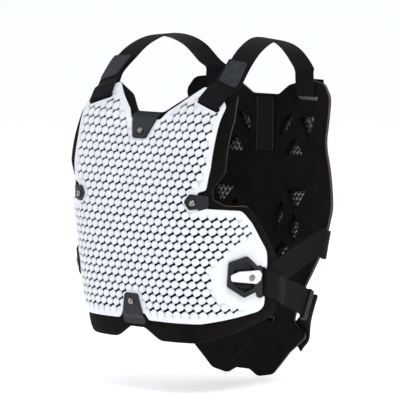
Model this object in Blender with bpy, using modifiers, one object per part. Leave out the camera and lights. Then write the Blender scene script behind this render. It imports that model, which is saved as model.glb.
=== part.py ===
"""Moulded chest protector: vented front plate and plain back plate on padded cloth.

Two shoulder straps and two side straps join the halves. The frame is metres, +Z up, with the
front towards -Y and the wearer's left towards +X. The origin lies midway between the shoulders,
level with the underside of the straps where they rest.

Each panel is drawn as a flat pattern and then wrapped on the body. A pattern point is
(reach, rise): the distance round the body from the centre line, and the height above the front hem.
"""

from collections import namedtuple
from math import ceil, cos, hypot, pi, radians, sin, tan

import bmesh
import bpy
import numpy as np
from mathutils import Matrix, Vector, geometry

# Front half: lowest point of the hem to the shoulder tops, and centre line to side edge
CHEST_HEIGHT = 0.360
CHEST_REACH = 0.240
CHEST_WRAP = 0.150
CHEST_LEAN = 0.080
FRONT_TURN = radians(88)
FRONT_FLATNESS = 2.8

# Back half: lowest point of the lobes to the shoulder tops, and centre line to wing edge
BACK_HEIGHT = 0.435
BACK_REACH = 0.170
BACK_DROP = 0.078
BACK_DEPTH = 0.290
BACK_WRAP = 0.235
BACK_TURN = radians(88)
BACK_FLATNESS = 2.0

# Shoulders: front hem up to the underside of the straps, breast back to the shoulder tops
SHOULDER_RISE = 0.420
SHOULDER_DEPTH = 0.165
SHOULDER_SPREAD = 0.097

# Thicknesses and clearances
PAD_THICKNESS = 0.009
BACK_PAD_THICKNESS = 0.006
SHELL_THICKNESS = 0.0026
INSERT_THICKNESS = 0.0030
TAB_THICKNESS = 0.0020
PATCH_THICKNESS = 0.0012
LABEL_THICKNESS = 0.0010
LAYER_GAP = 0.0008
FIT_GAP = 0.0003
WEB_GAP = 0.0011
PAD_ROLL = 0.0022

# Corner radii of the cut outlines
PAD_ROUND = 0.030
SHELL_ROUND = 0.030
TAB_ROUND = 0.005
WINDOW_ROUND = 0.003

# Webbing, slots and buckles
WEB_WIDTH = 0.040
WEB_THICKNESS = 0.0018
SLOT_WIDTH = 0.005
SLOT_SIDE_CLEARANCE = 0.0015
PAD_SLOT_WIDTH = 0.0085
SLOT_TILT = radians(-17.4)
SHOULDER_BAR = 0.0200
BACK_BAR = 0.0125
SIDE_BAR = 0.0048
TAIL_LENGTH = 0.086
BACK_TAIL_LENGTH = 0.023
FOLD_RADIUS = 0.0026
PATCH_LENGTH = 0.042
PATCH_WIDTH = 0.034
PATCH_PLACE = 0.062
PATCH_ROUND = 0.006
TAIL_SETTLE = 0.013
SHOULDER_SLOPE = 0.10
UPPER_SLANT = 0.41
LOWER_SLANT = -0.50
RING_WIDTH = 0.052
RING_HEIGHT = 0.059
RING_RIM = 0.0085
RING_THICKNESS = 0.0050
RING_ROUND = 0.005
RING_SOFT = 0.0015
TONGUE_WIDTH = 0.047
TONGUE_HEIGHT = 0.019
TONGUE_THICKNESS = 0.0022
SLIDER_LENGTH = 0.010
SLIDER_WALL = 0.0024
SLIDER_GAP = 0.0005
SLIDER_SOFT = 0.0006

# Rivets
RIVET_RADIUS = 0.0046
RIVET_SHANK = 0.0018
RIVET_DOME = 0.0022
RIVET_RIM = 0.0007
RIVET_SIDES = 8
RIVET_RINGS = 3

# Vents: rows stand on the same lattice as the scales of the moulded surface
SCALE_PITCH = 0.0124
SCALE_ROW = 0.0108
VENT_COLUMNS = 2
VENT_ROWS = 3
VENT_LENGTH = 0.0080
VENT_WIDTH = 0.0026
VENT_TILT = radians(30)
VENT_MARGIN = 0.0105

# How far a facet may stand off its curved surface, and the steps of drawn edges and round corners
SHELL_SAG = 0.00060
PAD_SAG = 0.00100
INSERT_SAG = 0.00045
STRAP_SAG = 0.00030
STRAP_LONGEST = 0.024
REFINE_ROUNDS = 7
RIM_STEP = 0.040
ARC_STEP = 0.008
SURFACE_STEP = 0.0005
BAND_STEP = 0.002
BAND_PROBE = 0.001

# Heights over the pads that follow from the thicknesses: of the shells, and of the webbing's middle
STRAP_ROOM = WEB_THICKNESS + 2 * WEB_GAP
SHELL_RISE = STRAP_ROOM - LAYER_GAP
BACK_SHELL_LIFT = 2 * LAYER_GAP + INSERT_THICKNESS + PAD_SAG / 2
RUN_HEIGHT = WEB_GAP + WEB_THICKNESS / 2
TAIL_HEIGHT = RUN_HEIGHT + WEB_THICKNESS + WEB_GAP
OVER_BAR = STRAP_ROOM + SHELL_THICKNESS + RUN_HEIGHT
BACK_OVER = BACK_PAD_THICKNESS + BACK_SHELL_LIFT + SHELL_THICKNESS + RUN_HEIGHT

# Raised parts of the front shell round its slots, and the climb of a tab over its edge
BOSS_REACH = 0.029
BOSS_FADE = 0.030
SIDE_BOSS_REACH = 0.026
SIDE_BOSS_RUN = 0.0095
TAB_CLIMB = 0.007
TAB_MARGIN = 0.0012

Level = namedtuple("Level", "up wrap lean")
Corner = namedtuple("Corner", "across up round")
Window = namedtuple("Window", "across up wide tall turn sides")
Spot = namedtuple("Spot", "across up")

# Sections up the front: up is a share of the chest height, wrap and lean of their own sizes
FRONT_LEVELS = (
    Level(-0.20, 0.84, 0.14),
    Level(0.00, 0.86, 0.06),
    Level(0.17, 0.92, -0.05),
    Level(0.28, 0.96, -0.07),
    Level(0.53, 1.08, -0.09),
    Level(0.71, 1.34, 0.05),
    Level(0.81, 1.37, 0.19),
    Level(0.88, 1.37, 0.35),
    Level(0.96, 1.36, 0.66),
    Level(1.04, 1.36, 1.00),
)

# Sections up the back: up is a share of the back height, lean a share of the back depth
BACK_LEVELS = (
    Level(-0.03, 1.00, 0.814),
    Level(0.22, 1.00, 0.828),
    Level(0.45, 1.00, 0.883),
    Level(0.60, 1.00, 0.950),
    Level(0.72, 1.00, 0.985),
    Level(0.91, 1.00, 1.000),
    Level(1.04, 1.00, 0.983),
)

# Outlines of one half, from the hem up to the neck: shares of reach, height and corner radius
FRONT_PAD_HALF = (
    Corner(0.058, 0.053, 0.45),
    Corner(0.167, 0.006, 0.70),
    Corner(0.420, 0.004, 2.00),
    Corner(0.990, 0.100, 0.55),
    Corner(1.000, 0.328, 1.00),
    Corner(0.863, 0.469, 0.80),
    Corner(0.767, 0.541, 0.50),
    Corner(0.625, 0.545, 0.80),
    Corner(0.546, 0.572, 0.27),
    Corner(0.546, 0.614, 0.27),
    Corner(0.612, 0.678, 0.40),
    Corner(0.596, 0.883, 1.00),
    Corner(0.533, 0.980, 0.40),
    Corner(0.375, 1.000, 0.80),
    Corner(0.217, 0.961, 1.00),
    Corner(0.100, 0.897, 0.50),
)
FRONT_SHELL_HALF = (
    Corner(0.088, 0.114, 0.13),
    Corner(0.113, 0.089, 0.20),
    Corner(0.442, 0.086, 2.00),
    Corner(0.858, 0.128, 0.47),
    Corner(0.888, 0.367, 0.70),
    Corner(0.783, 0.480, 1.00),
    Corner(0.717, 0.530, 0.47),
    Corner(0.508, 0.539, 0.13),
    Corner(0.458, 0.528, 0.10),
    Corner(0.458, 0.600, 0.10),
    Corner(0.508, 0.611, 0.17),
    Corner(0.525, 0.694, 1.30),
    Corner(0.525, 0.917, 0.27),
    Corner(0.471, 0.953, 0.23),
    Corner(0.325, 0.986, 0.23),
    Corner(0.250, 0.944, 0.80),
    Corner(0.150, 0.897, 0.50),
    Corner(0.113, 0.864, 0.17),
)
BACK_PAD_HALF = (
    Corner(0.076, 0.025, 0.20),
    Corner(0.170, 0.004, 0.50),
    Corner(0.330, 0.016, 0.60),
    Corner(0.540, 0.100, 0.80),
    Corner(0.812, 0.172, 0.20),
    Corner(0.665, 0.186, 0.20),
    Corner(0.580, 0.205, 0.25),
    Corner(0.640, 0.290, 1.00),
    Corner(0.960, 0.470, 1.00),
    Corner(0.985, 0.590, 1.00),
    Corner(0.820, 0.715, 1.00),
    Corner(0.720, 0.790, 1.50),
    Corner(0.800, 0.946, 0.60),
    Corner(0.715, 0.990, 0.50),
    Corner(0.500, 1.000, 0.80),
    Corner(0.270, 0.978, 0.80),
    Corner(0.140, 0.943, 0.40),
)
BACK_SHELL_HALF = (
    Corner(0.120, 0.065, 0.40),
    Corner(0.330, 0.065, 0.80),
    Corner(0.500, 0.170, 0.80),
    Corner(0.560, 0.330, 1.50),
    Corner(0.720, 0.450, 1.00),
    Corner(0.740, 0.600, 1.00),
    Corner(0.600, 0.720, 1.00),
    Corner(0.620, 0.820, 1.00),
    Corner(0.710, 0.925, 0.50),
    Corner(0.650, 0.967, 0.40),
    Corner(0.360, 0.975, 0.60),
    Corner(0.120, 0.905, 0.80),
)
BACK_INSERT_HALF = (
    Corner(0.180, 0.135, 0.40),
    Corner(0.380, 0.210, 0.60),
    Corner(0.420, 0.350, 1.00),
    Corner(0.560, 0.480, 0.80),
    Corner(0.560, 0.590, 0.80),
    Corner(0.440, 0.720, 0.80),
    Corner(0.520, 0.840, 0.60),
    Corner(0.420, 0.895, 0.40),
    Corner(0.120, 0.865, 0.60),
)

# Cut windows of the back pad, one half: centre, size as shares of the window unit, turn, sides
WINDOW_UNIT = 0.040
BACK_WINDOWS = (
    Window(0.225, 0.846, 0.42, 1.30, radians(-38), 4),
    Window(0.476, 0.846, 1.04, 1.20, radians(184), 3),
    Window(0.324, 0.763, 1.15, 0.84, radians(4), 3),
    Window(0.412, 0.607, 1.22, 1.10, radians(186), 3),
    Window(0.247, 0.540, 0.42, 1.44, radians(-4), 4),
    Window(0.447, 0.508, 0.58, 1.20, radians(18), 4),
    Window(0.353, 0.432, 0.78, 0.66, radians(10), 4),
    Window(0.300, 0.205, 0.46, 0.42, radians(0), 4),
)

# Smooth tabs, drawn from the root on the pad to the tip: places on the front pattern
NECK_TAB = (
    Corner(0.108, 0.889, 1.0),
    Corner(-0.108, 0.889, 1.0),
    Corner(-0.050, 0.789, 1.0),
    Corner(0.050, 0.789, 1.0),
)
HEM_TAB = (
    Corner(-0.090, 0.070, 1.0),
    Corner(0.090, 0.070, 1.0),
    Corner(0.050, 0.192, 1.0),
    Corner(-0.050, 0.192, 1.0),
)
ARM_TAB = (
    Corner(0.523, 0.542, 0.6),
    Corner(0.523, 0.589, 0.6),
    Corner(0.412, 0.594, 1.0),
    Corner(0.379, 0.563, 1.0),
    Corner(0.412, 0.532, 1.0),
)
NECK_RIVET = Spot(0.0, 0.817)
HEM_RIVET = Spot(0.0, 0.161)
ARM_RIVET = Spot(0.433, 0.561)

# Slots and buckles on the front pattern, and strap places on the back pattern
SHOULDER_SLOT = Spot(0.411, 0.918)
SIDE_SLOT = Spot(0.858, 0.244)
RING_PLACE = Spot(0.717, 0.270)
TONGUE_SHIFT = 0.002
TONGUE_RIVET_SHIFT = 0.008
BACK_SLOT = Spot(0.482, 0.944)
WING_PLACE = Spot(0.970, 0.475)
WING_LAP = 0.034
EAR_PLACE = Spot(0.66, 0.175)
EAR_LAP = 0.022
EAR_TILT = radians(45)
LABEL_PLACE = Spot(0.012, 0.842)
LABEL_WIDTH = 0.034
LABEL_HEIGHT = 0.080
LABEL_ROUND = 0.001

# Corners of a ring as shares of its half width and half height, and of a tongue as shares of its size
Share = namedtuple("Share", "x y")
RING_CORNERS = (
    Share(0.86, 0.46),
    Share(0.22, 1.0),
    Share(-0.86, 0.74),
    Share(-1.0, -0.44),
    Share(-0.08, -1.0),
    Share(0.80, -0.72),
)
TONGUE_ROUND = 0.003
TONGUE_CORNERS = (
    Share(0.45, -0.25),
    Share(0.50, 0.20),
    Share(0.42, 0.50),
    Share(-0.25, 0.50),
    Share(-0.50, 0.25),
    Share(-0.50, -0.20),
    Share(0.30, -0.50),
)

# Corners of a vent as shares of its half length and its width
VENT_CORNERS = (Share(1.0, -0.5), Share(0.6, 0.5), Share(-1.0, 0.5), Share(-0.6, -0.5))

# Free run of a shoulder strap between the slots: spread, depth and rise as shares
Station = namedtuple("Station", "spread depth rise")
SHOULDER_ROUTE = (
    Station(1.10, 0.610, 0.921),
    Station(1.06, 0.780, 0.970),
    Station(1.00, 1.000, 1.000),
    Station(0.96, 1.230, 0.994),
    Station(0.93, 1.440, 0.962),
    Station(0.90, 1.620, 0.905),
)
# Centre of the slider as shares of the shoulder spread, the back depth and the chest height
SLIDER_PLACE = Station(1.480, 0.703, 0.119)

# Distances from a slot at which a strap still lies on its plate, and the start of its slant
LANDING = (0.0, 0.012, 0.024, 0.036)
SLANT_START = 0.008
FOLD_STEPS = 2

# How the upper leg of a side strap wraps the wing: distance beyond the wing's edge, height out
WING_WRAP = (
    (0.014, -0.012),
    (0.0085, -0.002),
    (0.0045, 0.003),
    (0.0005, BACK_PAD_THICKNESS),
    (-0.008, BACK_PAD_THICKNESS),
    (-WING_LAP / 2, BACK_PAD_THICKNESS),
    (-WING_LAP, BACK_PAD_THICKNESS),
)
EAR_RISE = 0.008

MATERIALS = {
    "pad_cloth": ((0.030, 0.026, 0.022), 0.9, 0.0),
    "white_shell": ((0.82, 0.84, 0.88), 0.35, 0.0),
    "tab_rubber": ((0.030, 0.034, 0.045), 0.5, 0.0),
    "rivet_metal": ((0.20, 0.18, 0.16), 0.35, 1.0),
    "black_webbing": ((0.018, 0.018, 0.020), 0.8, 0.0),
    "patch_grey": ((0.16, 0.17, 0.19), 0.7, 0.0),
    "cell_plate": ((0.045, 0.048, 0.055), 0.2, 0.0),
    "buckle_plastic": ((0.025, 0.026, 0.030), 0.35, 0.0),
    "label_cloth": ((0.020, 0.020, 0.022), 0.8, 0.0),
}


def clear_scene():
    """Remove the objects of the scene."""
    for item in list(bpy.data.objects):
        bpy.data.objects.remove(item, do_unlink=True)


def material(name):
    """Return the named material, made once."""
    found = bpy.data.materials.get(name)
    if found:
        return found
    colour, roughness, metallic = MATERIALS[name]
    made = bpy.data.materials.new(name)
    made.use_nodes = True
    shader = made.node_tree.nodes["Principled BSDF"]
    shader.inputs["Base Color"].default_value = (*colour, 1.0)
    shader.inputs["Roughness"].default_value = roughness
    shader.inputs["Metallic"].default_value = metallic
    return made


def add_object(name, mesh, finish):
    """Link a mesh as a part with one material."""
    mesh.materials.clear()
    mesh.materials.append(material(finish))
    part = bpy.data.objects.new(name, mesh)
    bpy.data.collections["chest_protector"].objects.link(part)
    return part


def smooth_share(value, start, end):
    """Ease from 0 at start to 1 at end."""
    share = np.clip((value - start) / (end - start), 0.0, 1.0)
    return share * share * (3.0 - 2.0 * share)


def curve_through(places, values, at):
    """Read a smooth curve through table rows, whose slopes come from the neighbouring rows."""
    places = np.asarray(places, dtype=float)
    values = np.asarray(values, dtype=float)
    at = np.clip(at, places[0], places[-1])
    slopes = np.gradient(values, places)
    row = np.clip(np.searchsorted(places, at) - 1, 0, len(places) - 2)
    span = places[row + 1] - places[row]
    share = (at - places[row]) / span
    rest = 1.0 - share
    start = (1.0 + 2.0 * share) * rest * rest * values[row] + share * rest * rest * span * slopes[row]
    end = share * share * (3.0 - 2.0 * share) * values[row + 1]
    return start + end - share * share * rest * span * slopes[row + 1]


class Section:
    """Horizontal section of the body, whose heading turns smoothly away from the centre line."""

    def __init__(self, turn, flatness, steps=600, longest=2.6):
        self.turn = turn
        self.flatness = flatness
        self.runs = np.linspace(0.0, longest, steps)
        headings = self.heading(self.runs)
        step = self.runs[1]
        middles = (headings[1:] + headings[:-1]) / 2
        self.sides = np.concatenate(([0.0], np.cumsum(np.cos(middles)))) * step
        self.falls = np.concatenate(([0.0], np.cumsum(np.sin(middles)))) * step

    def heading(self, run):
        """Heading at a run along the section, which is a share of the wrap length."""
        return self.turn * (1.0 - np.exp(-np.abs(run) ** self.flatness))

    def side(self, run):
        """Sideways place at a run, as a share of the wrap length."""
        return np.sign(run) * np.interp(np.abs(run), self.runs, self.sides)

    def fall(self, run):
        """Distance that the section has turned away from its front at a run."""
        return np.interp(np.abs(run), self.runs, self.falls)


FRONT_SECTION = Section(FRONT_TURN, FRONT_FLATNESS)
BACK_SECTION = Section(BACK_TURN, BACK_FLATNESS)


def body_surface(section, wraps, leans, facing, reach, rise):
    """Points of a wrapped pattern: facing is -1 for the front half and 1 for the back half."""
    run = reach / wraps
    across = wraps * section.side(run)
    depth = leans - facing * wraps * section.fall(run)
    return np.stack((across, depth - SHOULDER_DEPTH, rise - SHOULDER_RISE), axis=-1)


def front_base(reach, rise):
    """Points on the front pad's outer face."""
    levels = [level.up for level in FRONT_LEVELS]
    wraps = CHEST_WRAP * curve_through(levels, [level.wrap for level in FRONT_LEVELS], rise / CHEST_HEIGHT)
    leans = CHEST_LEAN * curve_through(levels, [level.lean for level in FRONT_LEVELS], rise / CHEST_HEIGHT)
    return body_surface(FRONT_SECTION, wraps, leans, -1.0, reach, rise)


def back_base(reach, rise):
    """Points on the back pad's inner face."""
    levels = [level.up for level in BACK_LEVELS]
    share = (rise + BACK_DROP) / BACK_HEIGHT
    wraps = BACK_WRAP * curve_through(levels, [level.wrap for level in BACK_LEVELS], share)
    leans = BACK_DEPTH * curve_through(levels, [level.lean for level in BACK_LEVELS], share)
    return body_surface(BACK_SECTION, wraps, leans, 1.0, reach, rise)


def lifted(base, facing, reach, rise, out):
    """Points at a height out from a surface, along its own normal."""
    reach = np.asarray(reach, dtype=float)
    rise = np.asarray(rise, dtype=float)
    across = base(reach + SURFACE_STEP, rise) - base(reach - SURFACE_STEP, rise)
    up = base(reach, rise + SURFACE_STEP) - base(reach, rise - SURFACE_STEP)
    normals = -facing * np.cross(across, up)
    normals /= np.linalg.norm(normals, axis=-1, keepdims=True)
    return base(reach, rise) + normals * np.asarray(out, dtype=float)[..., None]


def front_surface(reach, rise, out=0.0):
    """Points at a height out in front of the front pad's outer face."""
    return lifted(front_base, -1.0, reach, rise, out)


def back_surface(reach, rise, out=0.0):
    """Points at a height out behind the back pad's inner face."""
    return lifted(back_base, 1.0, reach, rise, out)


def front_point(reach, rise, out=0.0):
    """One point of the front pattern."""
    return Vector(front_surface(reach, rise, out))


def back_point(reach, rise, out=0.0):
    """One point of the back pattern."""
    return Vector(back_surface(reach, rise, out))


def front_spot(spot, side=1):
    """Pattern place of a spot on the front, in metres."""
    return side * spot.across * CHEST_REACH, spot.up * CHEST_HEIGHT


def back_spot(spot, side=1):
    """Pattern place of a spot on the back, in metres."""
    return side * spot.across * BACK_REACH, spot.up * BACK_HEIGHT - BACK_DROP


def round_corner(before, corner, after, radius):
    """Points of the arc that rounds one corner of a flat outline."""
    to_before = (before - corner).normalized()
    to_after = (after - corner).normalized()
    half_angle = to_before.angle(to_after) / 2
    room = 0.48 * min((before - corner).length, (after - corner).length)
    setback = min(radius / tan(half_angle), room)
    radius = setback * tan(half_angle)
    centre = corner + (to_before + to_after).normalized() * (setback / cos(half_angle))
    first = corner + to_before * setback - centre
    sweep = pi - 2 * half_angle
    turn = 1.0 if first.y * to_before.x > first.x * to_before.y else -1.0
    steps = max(1, ceil(radius * sweep / ARC_STEP))
    return [centre + Matrix.Rotation(turn * sweep * i / steps, 2) @ first for i in range(steps + 1)]


def rounded_outline(corners, longest=RIM_STEP):
    """Round each (x, y, radius) corner and divide long straight runs."""
    places = [Vector(corner[:2]) for corner in corners]
    count = len(places)
    points = []
    for i, corner in enumerate(corners):
        points += round_corner(places[i - 1], places[i], places[(i + 1) % count], corner[2])
    divided = []
    for start, end in zip(points, points[1:] + points[:1]):
        length = (end - start).length
        if length < 1e-6:
            continue
        pieces = ceil(length / longest)
        divided += [start.lerp(end, i / pieces) for i in range(pieces)]
    return divided


def whole_outline(half, spot_of, round_unit):
    """Mirror a half outline about the centre line and round it."""
    right = [(*spot_of(corner), corner.round * round_unit) for corner in half]
    left = [(-x, y, radius) for x, y, radius in reversed(right)]
    return rounded_outline(right + left)


def inside(points, loop):
    """Which points lie inside a closed flat loop."""
    points = np.asarray(points, dtype=float)
    result = np.zeros(len(points), dtype=bool)
    for (x0, y0), (x1, y1) in zip(loop, list(loop[1:]) + [loop[0]]):
        if y0 == y1:
            continue
        crosses = (points[:, 1] > y0) != (points[:, 1] > y1)
        result ^= crosses & (points[:, 0] < x0 + (points[:, 1] - y0) * (x1 - x0) / (y1 - y0))
    return result


def edge_distance(points, loop):
    """Distance from each point to the nearest edge of a closed flat loop."""
    points = np.asarray(points, dtype=float)
    nearest = np.full(len(points), np.inf)
    for start, end in zip(loop, list(loop[1:]) + [loop[0]]):
        start = np.array(start)
        along = np.array(end) - start
        share = np.clip((points - start) @ along / max(along @ along, 1e-12), 0.0, 1.0)
        gap = np.linalg.norm(points - start - share[:, None] * along, axis=1)
        nearest = np.minimum(nearest, gap)
    return nearest


def fill_pattern(loops, inner):
    """Triangulate a flat outline, with the later loops as holes, through its inner points."""
    corners = []
    edges = []
    for loop in loops:
        first = len(corners)
        corners += loop
        edges += [(first + i, first + (i + 1) % len(loop)) for i in range(len(loop))]
    points, _, faces, _, _, _ = geometry.delaunay_2d_cdt(corners + inner, edges, [], 1, 1e-7)
    flat = np.array([list(point) for point in points])
    faces = np.array([face for face in faces if len(face) == 3])
    keep = np.ones(len(faces), dtype=bool)
    for hole in loops[1:]:
        keep &= ~inside(flat[faces].mean(axis=1), hole)
    return flat, faces[keep]


def bent_edges(flat, faces, place, sag):
    """Pattern edges whose straight chord stands off the wrapped surface by more than the sag."""
    edges = np.unique(np.sort(np.concatenate((faces[:, :2], faces[:, 1:], faces[:, ::2])), axis=1), axis=0)
    ends = place(flat[:, 0], flat[:, 1])
    start, end = ends[edges[:, 0]], ends[edges[:, 1]]
    bent = np.zeros(len(edges), dtype=bool)
    for share in (0.25, 0.5, 0.75):
        middle = flat[edges[:, 0]] * (1 - share) + flat[edges[:, 1]] * share
        chord = start * (1 - share) + end * share
        bent |= np.linalg.norm(place(middle[:, 0], middle[:, 1]) - chord, axis=1) > sag
    return edges[bent]


def wrapped_sheet(name, outline, holes, place, sag, flip=False):
    """Mesh of a flat pattern wrapped by place(reach, rise), divided until its facets follow the bend."""
    loops = [[Vector(point).freeze() for point in loop] for loop in [outline] + list(holes)]
    inner = []
    for _ in range(REFINE_ROUNDS):
        flat, faces = fill_pattern(loops, inner)
        keys = [Vector(point).freeze() for point in flat]
        bent = {frozenset((keys[i], keys[j])) for i, j in bent_edges(flat, faces, place, sag)}
        if not bent:
            break
        for loop in loops:
            pairs = [frozenset(pair) for pair in zip(loop, loop[1:] + loop[:1])]
            for i in range(len(pairs) - 1, -1, -1):
                if pairs[i] in bent:
                    bent.discard(pairs[i])
                    loop.insert(i + 1, ((loop[i] + loop[(i + 1) % len(loop)]) / 2).freeze())
        inner += sorted((sum(pair, Vector((0.0, 0.0))) / 2 for pair in bent), key=tuple)
    sheet = bmesh.new()
    verts = [sheet.verts.new(point) for point in place(flat[:, 0], flat[:, 1])]
    for face in faces:
        order = face[::-1] if flip else face
        sheet.faces.new([verts[i] for i in order])
    loose = [vert for vert in sheet.verts if not vert.link_faces]
    bmesh.ops.delete(sheet, geom=loose, context="VERTS")
    mesh = bpy.data.meshes.new(name)
    sheet.to_mesh(mesh)
    sheet.free()
    return mesh


def solidify(part, thickness, offset=1.0):
    """Give an open sheet its wall: offset 1 builds outward, -1 inward and 0 both ways."""
    wall = part.modifiers.new("wall", "SOLIDIFY")
    wall.thickness = thickness
    wall.offset = offset
    wall.use_quality_normals = True


def soften(part, width, angle=radians(50)):
    """Round the rim of a solid sheet."""
    edge = part.modifiers.new("rolled_edge", "BEVEL")
    edge.width = width
    edge.segments = 1
    edge.limit_method = "ANGLE"
    edge.angle_limit = angle


def shade_round(part, angle=radians(35)):
    """Shade smooth, with sharp edges kept."""
    part.data.shade_smooth()
    part.data.set_sharp_from_angle(angle=angle)


def slot_loop(spot, tilt, length, width, ends=3):
    """Closed outline of a round-ended slot on a pattern."""
    radius = width / 2
    half = length / 2 - radius
    loop = []
    for side in (1, -1):
        for i in range(ends + 1):
            angle = (pi if side < 0 else 0) - pi / 2 + pi * i / ends
            loop.append((side * half + radius * cos(angle), radius * sin(angle)))
    return [(spot[0] + x * cos(tilt) - y * sin(tilt), spot[1] + x * sin(tilt) + y * cos(tilt))
            for x, y in loop]


def circle_loop(spot, radius, sides=RIVET_SIDES):
    """Closed round outline on a pattern."""
    return [(spot[0] + radius * cos(2 * pi * i / sides), spot[1] + radius * sin(2 * pi * i / sides))
            for i in range(sides)]


def vent_loop(spot):
    """Four-cornered slanted vent."""
    loop = []
    for x, y in VENT_CORNERS:
        x *= VENT_LENGTH / 2
        y *= VENT_WIDTH
        loop.append((spot[0] + x * cos(VENT_TILT) - y * sin(VENT_TILT),
                     spot[1] + x * sin(VENT_TILT) + y * cos(VENT_TILT)))
    return loop


def shoulder_slot_loop(side):
    """Strap slot of the front shell at a shoulder."""
    length = WEB_WIDTH + 2 * SLOT_SIDE_CLEARANCE
    return slot_loop(front_spot(SHOULDER_SLOT, side), side * SLOT_TILT, length, SLOT_WIDTH)


def side_slot_loop(side):
    """Upright strap slot of the front shell beside a ring."""
    length = WEB_WIDTH + 2 * SLOT_SIDE_CLEARANCE
    return slot_loop(front_spot(SIDE_SLOT, side), pi / 2, length, SLOT_WIDTH)


def back_slot_loop(side, width=SLOT_WIDTH):
    """Strap slot at a back shoulder; a wider one reaches lower."""
    length = WEB_WIDTH + 2 * SLOT_SIDE_CLEARANCE + width - SLOT_WIDTH
    x, y = back_spot(BACK_SLOT, side)
    return slot_loop((x, y - (width - SLOT_WIDTH) / 2), 0.0, length, width)


def shell_lift(reach, rise):
    """Height of the front shell's inner face, raised where a strap passes under it."""
    x, y = front_spot(SHOULDER_SLOT)
    far = np.hypot(np.abs(reach) - x, rise - y)
    shoulder = 1.0 - smooth_share(far, BOSS_REACH, BOSS_REACH + BOSS_FADE)
    x, y = front_spot(SIDE_SLOT)
    level = 1.0 - smooth_share(np.abs(rise - y), SIDE_BOSS_REACH, SIDE_BOSS_REACH + BOSS_FADE)
    beside = 1.0 - smooth_share(x - np.abs(reach) + SLOT_WIDTH / 2, 0.0, SIDE_BOSS_RUN)
    return LAYER_GAP + SHELL_RISE * np.maximum(shoulder, level * beside)


def shell_top(reach, rise):
    """Height of the front shell's outer face."""
    return shell_lift(reach, rise) + SHELL_THICKNESS


def vent_spots(outline):
    """Centres of the vents that keep clear of the rim, the slots, the tabs and the rings."""
    keep_out = [(front_spot(spot, side), clear) for side in (1, -1) for spot, clear in (
        (SHOULDER_SLOT, 0.034), (SIDE_SLOT, 0.030), (RING_PLACE, 0.043), (ARM_RIVET, 0.021))]
    keep_out += [(front_spot(NECK_RIVET), 0.026), (front_spot(HEM_RIVET), 0.030)]
    row_pitch = VENT_ROWS * SCALE_ROW
    pitch = VENT_COLUMNS * SCALE_PITCH
    spots = []
    for row in range(ceil(CHEST_HEIGHT / row_pitch) + 1):
        shift = pitch / 2 if row % 2 else 0.0
        columns = ceil(CHEST_REACH / pitch) + 1
        spots += [(i * pitch + shift, row * row_pitch) for i in range(-columns, columns + 1)]
    keep = inside(spots, outline) & (edge_distance(spots, outline) > VENT_MARGIN)
    clear = [all(hypot(x - sx, y - sy) > gap for (sx, sy), gap in keep_out) for x, y in spots]
    return [spot for spot, kept, free in zip(spots, keep, clear) if kept and free]


def build_front_pad():
    """Padded front backing with a rolled rim."""
    outline = whole_outline(FRONT_PAD_HALF, front_spot, PAD_ROUND)
    mesh = wrapped_sheet("front_pad", outline, (), front_surface, PAD_SAG)
    part = add_object("front_pad", mesh, "pad_cloth")
    solidify(part, PAD_THICKNESS, offset=-1.0)
    soften(part, PAD_ROLL)


def build_front_shell():
    """Vented front plate with its four strap slots and the holes for its rivets."""
    outline = whole_outline(FRONT_SHELL_HALF, front_spot, SHELL_ROUND)
    holes = [slot for side in (1, -1) for slot in (shoulder_slot_loop(side), side_slot_loop(side))]
    rivets = [front_spot(NECK_RIVET), front_spot(HEM_RIVET)]
    rivets += [front_spot(ARM_RIVET, side) for side in (1, -1)]
    rivets += [tongue_rivet_spot(side) for side in (1, -1)]
    holes += [circle_loop(spot, RIVET_SHANK + FIT_GAP) for spot in rivets]
    holes += [vent_loop(spot) for spot in vent_spots(outline)]
    mesh = wrapped_sheet("front_shell", outline, holes,
                         lambda x, y: front_surface(x, y, shell_lift(x, y)), SHELL_SAG)
    part = add_object("front_shell", mesh, "white_shell")
    solidify(part, SHELL_THICKNESS)


def build_tab(name, corners, rivet, side, drop):
    """Smooth tab that lies on the pad at its root and climbs over the shell's edge."""
    flat = [(side * x * CHEST_REACH, y * CHEST_HEIGHT, radius * TAB_ROUND) for x, y, radius in corners]
    if side < 0:
        flat.reverse()
    outline = rounded_outline(flat)
    hole = circle_loop(front_spot(rivet, side), RIVET_SHANK + FIT_GAP)

    def height(x, y):
        climb = smooth_share(drop(np.abs(x), y), 0.0, 1.0)
        return LAYER_GAP + climb * (LAYER_GAP + SHELL_THICKNESS)

    mesh = wrapped_sheet(name, outline, [hole],
                         lambda x, y: front_surface(x, y, height(x, y)), SHELL_SAG)
    part = add_object(name, mesh, "tab_rubber")
    solidify(part, TAB_THICKNESS)


def build_tabs():
    """The neck, hem and arm tabs."""
    neck_edge = FRONT_SHELL_HALF[-1].up * CHEST_HEIGHT
    hem_edge = FRONT_SHELL_HALF[0].up * CHEST_HEIGHT
    arm_edge = FRONT_SHELL_HALF[9].across * CHEST_REACH
    build_tab("neck_tab", NECK_TAB, NECK_RIVET, 1,
              lambda x, y: (neck_edge + TAB_MARGIN + TAB_CLIMB - y) / TAB_CLIMB)
    build_tab("hem_tab", HEM_TAB, HEM_RIVET, 1,
              lambda x, y: (y - hem_edge + TAB_MARGIN + TAB_CLIMB) / TAB_CLIMB)
    for side, name in ((1, "arm_tab_left"), (-1, "arm_tab_right")):
        build_tab(name, ARM_TAB, ARM_RIVET, side,
                  lambda x, y: (arm_edge + TAB_MARGIN + TAB_CLIMB - x) / TAB_CLIMB)


def front_frame(x, y):
    """Matrix on the front pattern: X round the body, Z outward, origin on the pad's face."""
    origin = front_point(x, y)
    across = (front_point(x + SURFACE_STEP, y) - origin).normalized()
    out = (front_point(x, y, SURFACE_STEP) - origin).normalized()
    return Matrix.Translation(origin) @ Matrix((across, out.cross(across), out)).transposed().to_4x4()


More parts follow.
